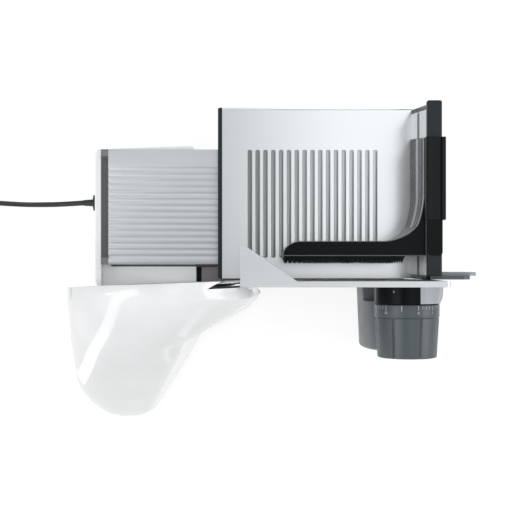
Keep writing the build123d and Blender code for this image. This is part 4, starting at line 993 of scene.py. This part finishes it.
# How far the left side is drawn in as (depth, inset), from a place across and growing over a blend
TOWER_LEFT = [
    (0.0, 0.0),
    (0.0040, 0.0012),
    (0.0160, 0.0022),
    (0.0280, 0.0020),
    (0.0450, 0.0004),
    (0.0520, 0.0),
]
LEFT_START, LEFT_BLEND = -0.130, 0.040
FOOT_RIM = 0.0005


def along_table(table, spot):
    """A value between the rows of a table of (spot, value), or None beyond them."""
    for (start, first), (end, last) in zip(table, table[1:]):
        if start <= spot <= end:
            return first + (last - first) * (spot - start) / (end - start)
    return None


def outermost(edges, depth):
    """The rightmost crossing of a depth by edges between two (across, depth) points."""
    return max(
        first + (last - first) * (depth - near) / (far - near)
        for (first, near), (last, far) in edges
        if near != far and min(near, far) <= depth <= max(near, far)
    )


class SLICER_OT_tower(Operator):
    """Draw the tower's right side out to a clear corner and its left side in"""

    bl_idname = "slicer.tower"
    bl_label = "Tower shell"

    def execute(self, context):
        source = nodes["tower_housing"]
        shell = source.data.copy()
        shell.name = "tower_shell"
        shell.transform(source.matrix_world)
        across = Vector((cos(TOWER_TOE), sin(TOWER_TOE), 0.0))
        depthways = Vector((sin(TOWER_TOE), -cos(TOWER_TOE), 0.0))
        offsets = [vertex.co - Vector((*TOWER_ORIGIN, 0.0)) for vertex in shell.vertices]
        places = [(offset.dot(across), offset.dot(depthways)) for offset in offsets]
        foot = min(vertex.co.z for vertex in shell.vertices) + FOOT_RIM
        rim = [
            [places[index] for index in edge.vertices]
            for edge in shell.edges
            if all(shell.vertices[index].co.z < foot for index in edge.vertices)
        ]
        start, end = TOWER_EDGE[0][0], TOWER_EDGE[-1][0]
        depths = [start + (end - start) * step / EDGE_SAMPLES for step in range(EDGE_SAMPLES + 1)]
        found = [(depth, outermost(rim, depth)) for depth in depths]
        for vertex, (side, depth) in zip(shell.vertices, places):
            inset = along_table(TOWER_LEFT, depth) or 0.0
            vertex.co += across * inset * min(1.0, max(0.0, (LEFT_START - side) / LEFT_BLEND))
            wanted = along_table(TOWER_EDGE, depth)
            if wanted is None:
                continue
            present = along_table(found, depth)
            share = min(1.0, max(0.0, (side - EDGE_BLEND) / (present - EDGE_BLEND)))
            fade = min(1.0, (depth - start) / EDGE_FADE_START, (end - depth) / EDGE_FADE_END)
            vertex.co += across * (wanted - present) * share * share * (3.0 - 2.0 * share) * fade
        shell.update()
        place(shell, "root", "white_gloss", replaced=("tower_housing",))
        return {"FINISHED"}


# Pusher

PUSHER_LIP, PUSHER_TIP = 0.0124, 0.016
PUSHER_HOLLOW = [(-0.0340, 0.0), (-0.0192, 0.0037), (-0.0095, 0.0098), (-0.0038, 0.0184), (0.0, 0.0404)]
PANEL_REAR = 0.0015
LINE_START = 0.001

# Edges of the cover as steps of (across, up) from its left end and its right end at the crown
COVER_LEFT = [(0.0, -0.0012), (0.0004, -0.0004), (0.0014, 0.0)]
COVER_LIP = [(-0.0034, -0.0007), (-0.0030, -0.0003), (-0.0006, -0.0003), (0.0, -0.0009)]
COVER_GAP, COVER_FLOOR, RAIL_GAP = 0.0002, 0.0002, 0.00035
COVER_BACK, COVER_FALL, COVER_STEPS = 0.0042, 0.0018, 8
COVER_GROOVE = (0.0040, 0.0036)

# Strips of painted reflection on the panel as name, height of the lower and the upper edge, slot and finish
PANEL_STRIPS = [
    ("panel_reflection_strip", 0.1175, 0.1310, "grey_plastic", "pale_grey"),
    ("panel_reflection_band", 0.1375, 0.1515, "slate_plastic", "slate_plastic"),
    ("panel_reflection_line", 0.1585, 0.1625, "grey_plastic", "pale_grey"),
]
STRIP_SIDES, STRIP_END = (-0.00025, 0.0003), 0.0004


class SLICER_OT_pusher(Operator):
    """Form the pusher's arm and panel, the cover over its rail, the panel's painted reflection strips and the
    painted highlight lines along its edges
    """

    bl_idname = "slicer.pusher"
    bl_label = "Pusher"

    def execute(self, context):
        sizes = context.scene.slicer_sizes
        arm_low, arm_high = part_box("pusher_arm")
        rail_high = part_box("pusher_rail")[1]
        cover_low, cover_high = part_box("pusher_sleeve")
        face, top = arm_high.x - sizes.panel_thickness, arm_high.z
        rear = cover_high.y + PANEL_REAR
        tip = [
            (arm_low.x + PUSHER_TIP * (1 - cos(radians(turn))), arm_low.y + PUSHER_LIP * sin(radians(turn)))
            for turn in range(0, 91, 10)
        ]
        hollow = stepped((face, arm_low.y + PUSHER_LIP), smooth_path(PUSHER_HOLLOW))

        def panel_rear(z):
            return rear + sizes.panel_lean * (top - z) / (top - arm_low.z)

        rings = []
        for z in (arm_low.z, top):
            panel = [(face, panel_rear(z)), (arm_high.x, panel_rear(z)), (arm_high.x, arm_low.y)]
            rings.append([(x, y, z) for x, y in tip + hollow + panel])
        place(solid("pusher_body", *layers(rings)), "pusher", "black_plastic", replaced=("pusher_arm",))

        left, right, crown = face + COVER_GAP, cover_high.x, cover_high.z
        under, inside = rail_high.z + RAIL_GAP, rail_high.x + RAIL_GAP
        outline = [(left, top), *stepped((left, crown), COVER_LEFT)]
        back = outline[-1][0]
        for step in range(1, COVER_STEPS + 1):
            part = step / COVER_STEPS
            outline.append((back + (right - COVER_BACK - back) * part, crown - COVER_FALL * part**2))
        outline += [(right - inset, under + COVER_FLOOR) for inset in COVER_GROOVE]
        outline += stepped((right, crown), COVER_LIP)
        outline += [(right, cover_low.z), (inside, cover_low.z), (inside, under)]
        outline += [(arm_high.x, under), (arm_high.x, top)]
        cover = prism("pusher_cover", outline, "Y", (cover_low.y, rear), crease=30.0)
        place(cover, "pusher", "black_plastic", "cover_plastic", replaced=("pusher_sleeve",))

        strip_path = [(x, y) for x, y in hollow if x > face - sizes.strip_start]
        # Painted reflection: light and dark strips on the panel's face
        for name, low, high, slot, finish in PANEL_STRIPS:
            stations = [(x, y, y) for x, y in strip_path]
            stations.append((face, panel_rear(low) - STRIP_END, panel_rear(high) - STRIP_END))
            rings = []
            for x, low_y, high_y in stations:
                first, second = [x + side for side in STRIP_SIDES]
                rings.append([
                    (first, low_y, low), (first, high_y, high), (second, high_y, high), (second, low_y, low)
                ])
            place(solid(name, *layers(rings)), "pusher", slot, finish)
        # Painted highlights: grey round lines along the arm's top edges
        paths = {
            "pusher_upper_highlight": [(x, y, top) for x, y in tip + hollow],
            "pusher_lower_highlight": [(arm_low.x + LINE_START, arm_low.y, top), (arm_high.x, arm_low.y, top)],
        }
        for name, path in paths.items():
            place(round_line(name, path, sizes.line_radius), "pusher", "grey_plastic")
        return {"FINISHED"}


# Fine trims

# Section of a dark strip in the wall's groove, a painted shade, as (distance from the wall's face, height)
WALL_GROOVE_SHADE = [(0.0001, 0.1133), (0.0009, 0.1131), (0.0009, 0.1269), (0.0001, 0.1267)]
GROOVE_SHADE_FRONT, GROOVE_SHADE_REAR = 0.0002, 0.0056
CAP_RISE = (-0.0002, 0.00006)
COLLAR_HALF_WIDTH, COLLAR_HALF_HEIGHT = 0.0077, 0.0064
COLLAR_SPAN = (-0.0042, -0.0018)
# Section of a black strip at the channel's left edge, a painted shadow of the base's wall
SHADOW_STRIP = [(0.0, 0.0), (0.0042, 0.0), (0.0042, 0.0009), (0.0036, 0.0014), (0.0005, 0.0014), (0.0, 0.0010)]
SHADOW_STRIP_INSET, SHADOW_STRIP_SPAN = 0.0003, (0.0002, 0.0168)


class SLICER_OT_trims(Operator):
    """Add a dark strip of painted shade in the wall's groove, the caps of the end strip, the collar of the
    cord and a black strip of painted shadow on the channel
    """

    bl_idname = "slicer.trims"
    bl_label = "Fine trims"

    def execute(self, context):
        sizes = context.scene.slicer_sizes
        # Painted shade: a dark strip laid in the wall's groove
        low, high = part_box("carriage_wall")
        span = (low.y + GROOVE_SHADE_FRONT, high.y - GROOVE_SHADE_REAR)
        groove_shade = prism("wall_groove_shade", stepped((low.x, 0.0), WALL_GROOVE_SHADE), "Y", span)
        place(groove_shade, "carriage", "slate_plastic")

        low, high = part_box("table_end_strip")
        caps = []
        for start, end in ((low.y, low.y + sizes.strip_cap), (high.y - sizes.strip_cap, high.y)):
            corners = ((low.x, start), (high.x, start), (high.x, end), (low.x, end))
            caps.append(layers([[(x, y, high.z + rise) for x, y in corners] for rise in CAP_RISE]))
        place(solid("strip_caps", *joined(caps)), "root", "grey_plastic")

        low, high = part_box("cord_gland")
        centre = ((low.y + high.y) / 2, (low.z + high.z) / 2)
        oval = [(COLLAR_HALF_WIDTH * cos(turn), COLLAR_HALF_HEIGHT * sin(turn)) for turn in even_turn(40)]
        plate_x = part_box("base_housing")[0].x
        collar = prism("gland_collar", stepped(centre, oval), "X", [plate_x + end for end in COLLAR_SPAN])
        place(collar, "root", "cord_black")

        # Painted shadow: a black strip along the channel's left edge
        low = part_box("chassis_channel")[0]
        outline = stepped((low.x + SHADOW_STRIP_INSET, sizes.cover_level), SHADOW_STRIP)
        shadow_strip = prism("channel_shadow_strip", outline, "Y", [low.y + end for end in SHADOW_STRIP_SPAN])
        place(shadow_strip, "root", "black_plastic")
        return {"FINISHED"}


# Cord

CORD_ROUTE = [
    (-0.178, 0.062, 0.050),
    (-0.199, 0.0606, 0.0486),
    (-0.222, 0.0609, 0.038),
    (-0.243, 0.062, 0.0205),
    (-0.262, 0.0637, 0.008),
    (-0.284, 0.0652, 0.0028),
    (-0.309, 0.066, 0.0026),
]
COIL_CENTRE = (-0.313, 0.0335)
COIL_LIFT = 0.52
LAST_TURN = 0.25
TURN_POINTS = 16
CROSSING = 0.2
PLUG_REAR, PLUG_AXIS, PLUG_ENTRY = 0.0075, 0.0075, 0.002
TAIL_STEP = 0.008


def coil_points(sizes):
    """Turns from the outside in on the surface, then from the inside out on top of them."""
    across = sizes.coil_turns
    pitch = sizes.cord_diameter
    outer = sizes.coil_radius + pitch * (across - 1) / 2
    spread = 1.0 / cos(pi / TURN_POINTS)
    points = []
    for step in range(int((2 * across + LAST_TURN) * TURN_POINTS) + 1):
        turn, part = divmod(step / TURN_POINTS, 1.0)
        shift = max(0.0, (part - 1.0 + CROSSING) / CROSSING)
        row = turn + shift
        inward = min(row, across - 1, 2 * across - 1 - row)
        layer = min(1.0, max(0.0, row - across + 1))
        radius = (outer - pitch * max(0.0, inward)) * spread
        angle = pi / 2 + tau * step / TURN_POINTS
        height = pitch * (COIL_LIFT + layer)
        points.append((COIL_CENTRE[0] + radius * cos(angle), COIL_CENTRE[1] + radius * sin(angle), height))
    return points


class SLICER_OT_cord(Operator):
    """Lay the mains cord from its gland into the coil and to the plug"""

    bl_idname = "slicer.cord"
    bl_label = "Mains cord"

    def execute(self, context):
        sizes = context.scene.slicer_sizes
        points = CORD_ROUTE + coil_points(sizes)
        tail_x, tail_y, tail_z = points[-1]
        points += [
            (tail_x, tail_y - TAIL_STEP, tail_z),
            (tail_x, PLUG_REAR + TAIL_STEP, PLUG_AXIS),
            (tail_x, PLUG_REAR - PLUG_ENTRY, PLUG_AXIS),
        ]
        curve = round_line("mains_cord", points, sizes.cord_diameter / 2, kind="NURBS", roundness=6)
        curve.splines[0].order_u = 3
        curve.splines[0].use_endpoint_u = True
        curve.resolution_u = 8
        cord = place(curve, "root", "cord_black", replaced=("cord_tube", "cord_coil", "cord_tail"))
        return {"FINISHED"}


# Add-on


class SLICER_PT_panel(Panel):
    """The slicer's steps and values"""

    bl_idname = "SLICER_PT_panel"
    bl_label = "Food slicer"
    bl_space_type = "VIEW_3D"
    bl_region_type = "UI"
    bl_category = "Slicer"

    def draw(self, context):
        for operator in operators:
            self.layout.operator(operator.bl_idname)
        for group in groups:
            values = getattr(context.scene, group)
            for name in values.__annotations__:
                self.layout.prop(values, name)


groups = {"slicer_colours": SlicerColours, "slicer_sizes": SlicerSizes, "slicer_stage": SlicerStage}
operators = (
    SLICER_OT_stage,
    SLICER_OT_finishes,
    SLICER_OT_ribbed_table,
    SLICER_OT_carriage_table,
    SLICER_OT_dial,
    SLICER_OT_dial_boss,
    SLICER_OT_dial_foot,
    SLICER_OT_tower,
    SLICER_OT_pusher,
    SLICER_OT_trims,
    SLICER_OT_cord,
)
classes = (*groups.values(), *operators, SLICER_PT_panel)


def register():
    for cls in classes:
        bpy.utils.register_class(cls)
    for name, group in groups.items():
        setattr(bpy.types.Scene, name, PointerProperty(type=group))


def unregister():
    for name in groups:
        delattr(bpy.types.Scene, name)
    for cls in reversed(classes):
        bpy.utils.unregister_class(cls)


def main():
    register()
    for operator in operators:
        category, action = operator.bl_idname.split(".")
        getattr(getattr(bpy.ops, category), action)()


if __name__ == "__main__":
    main()
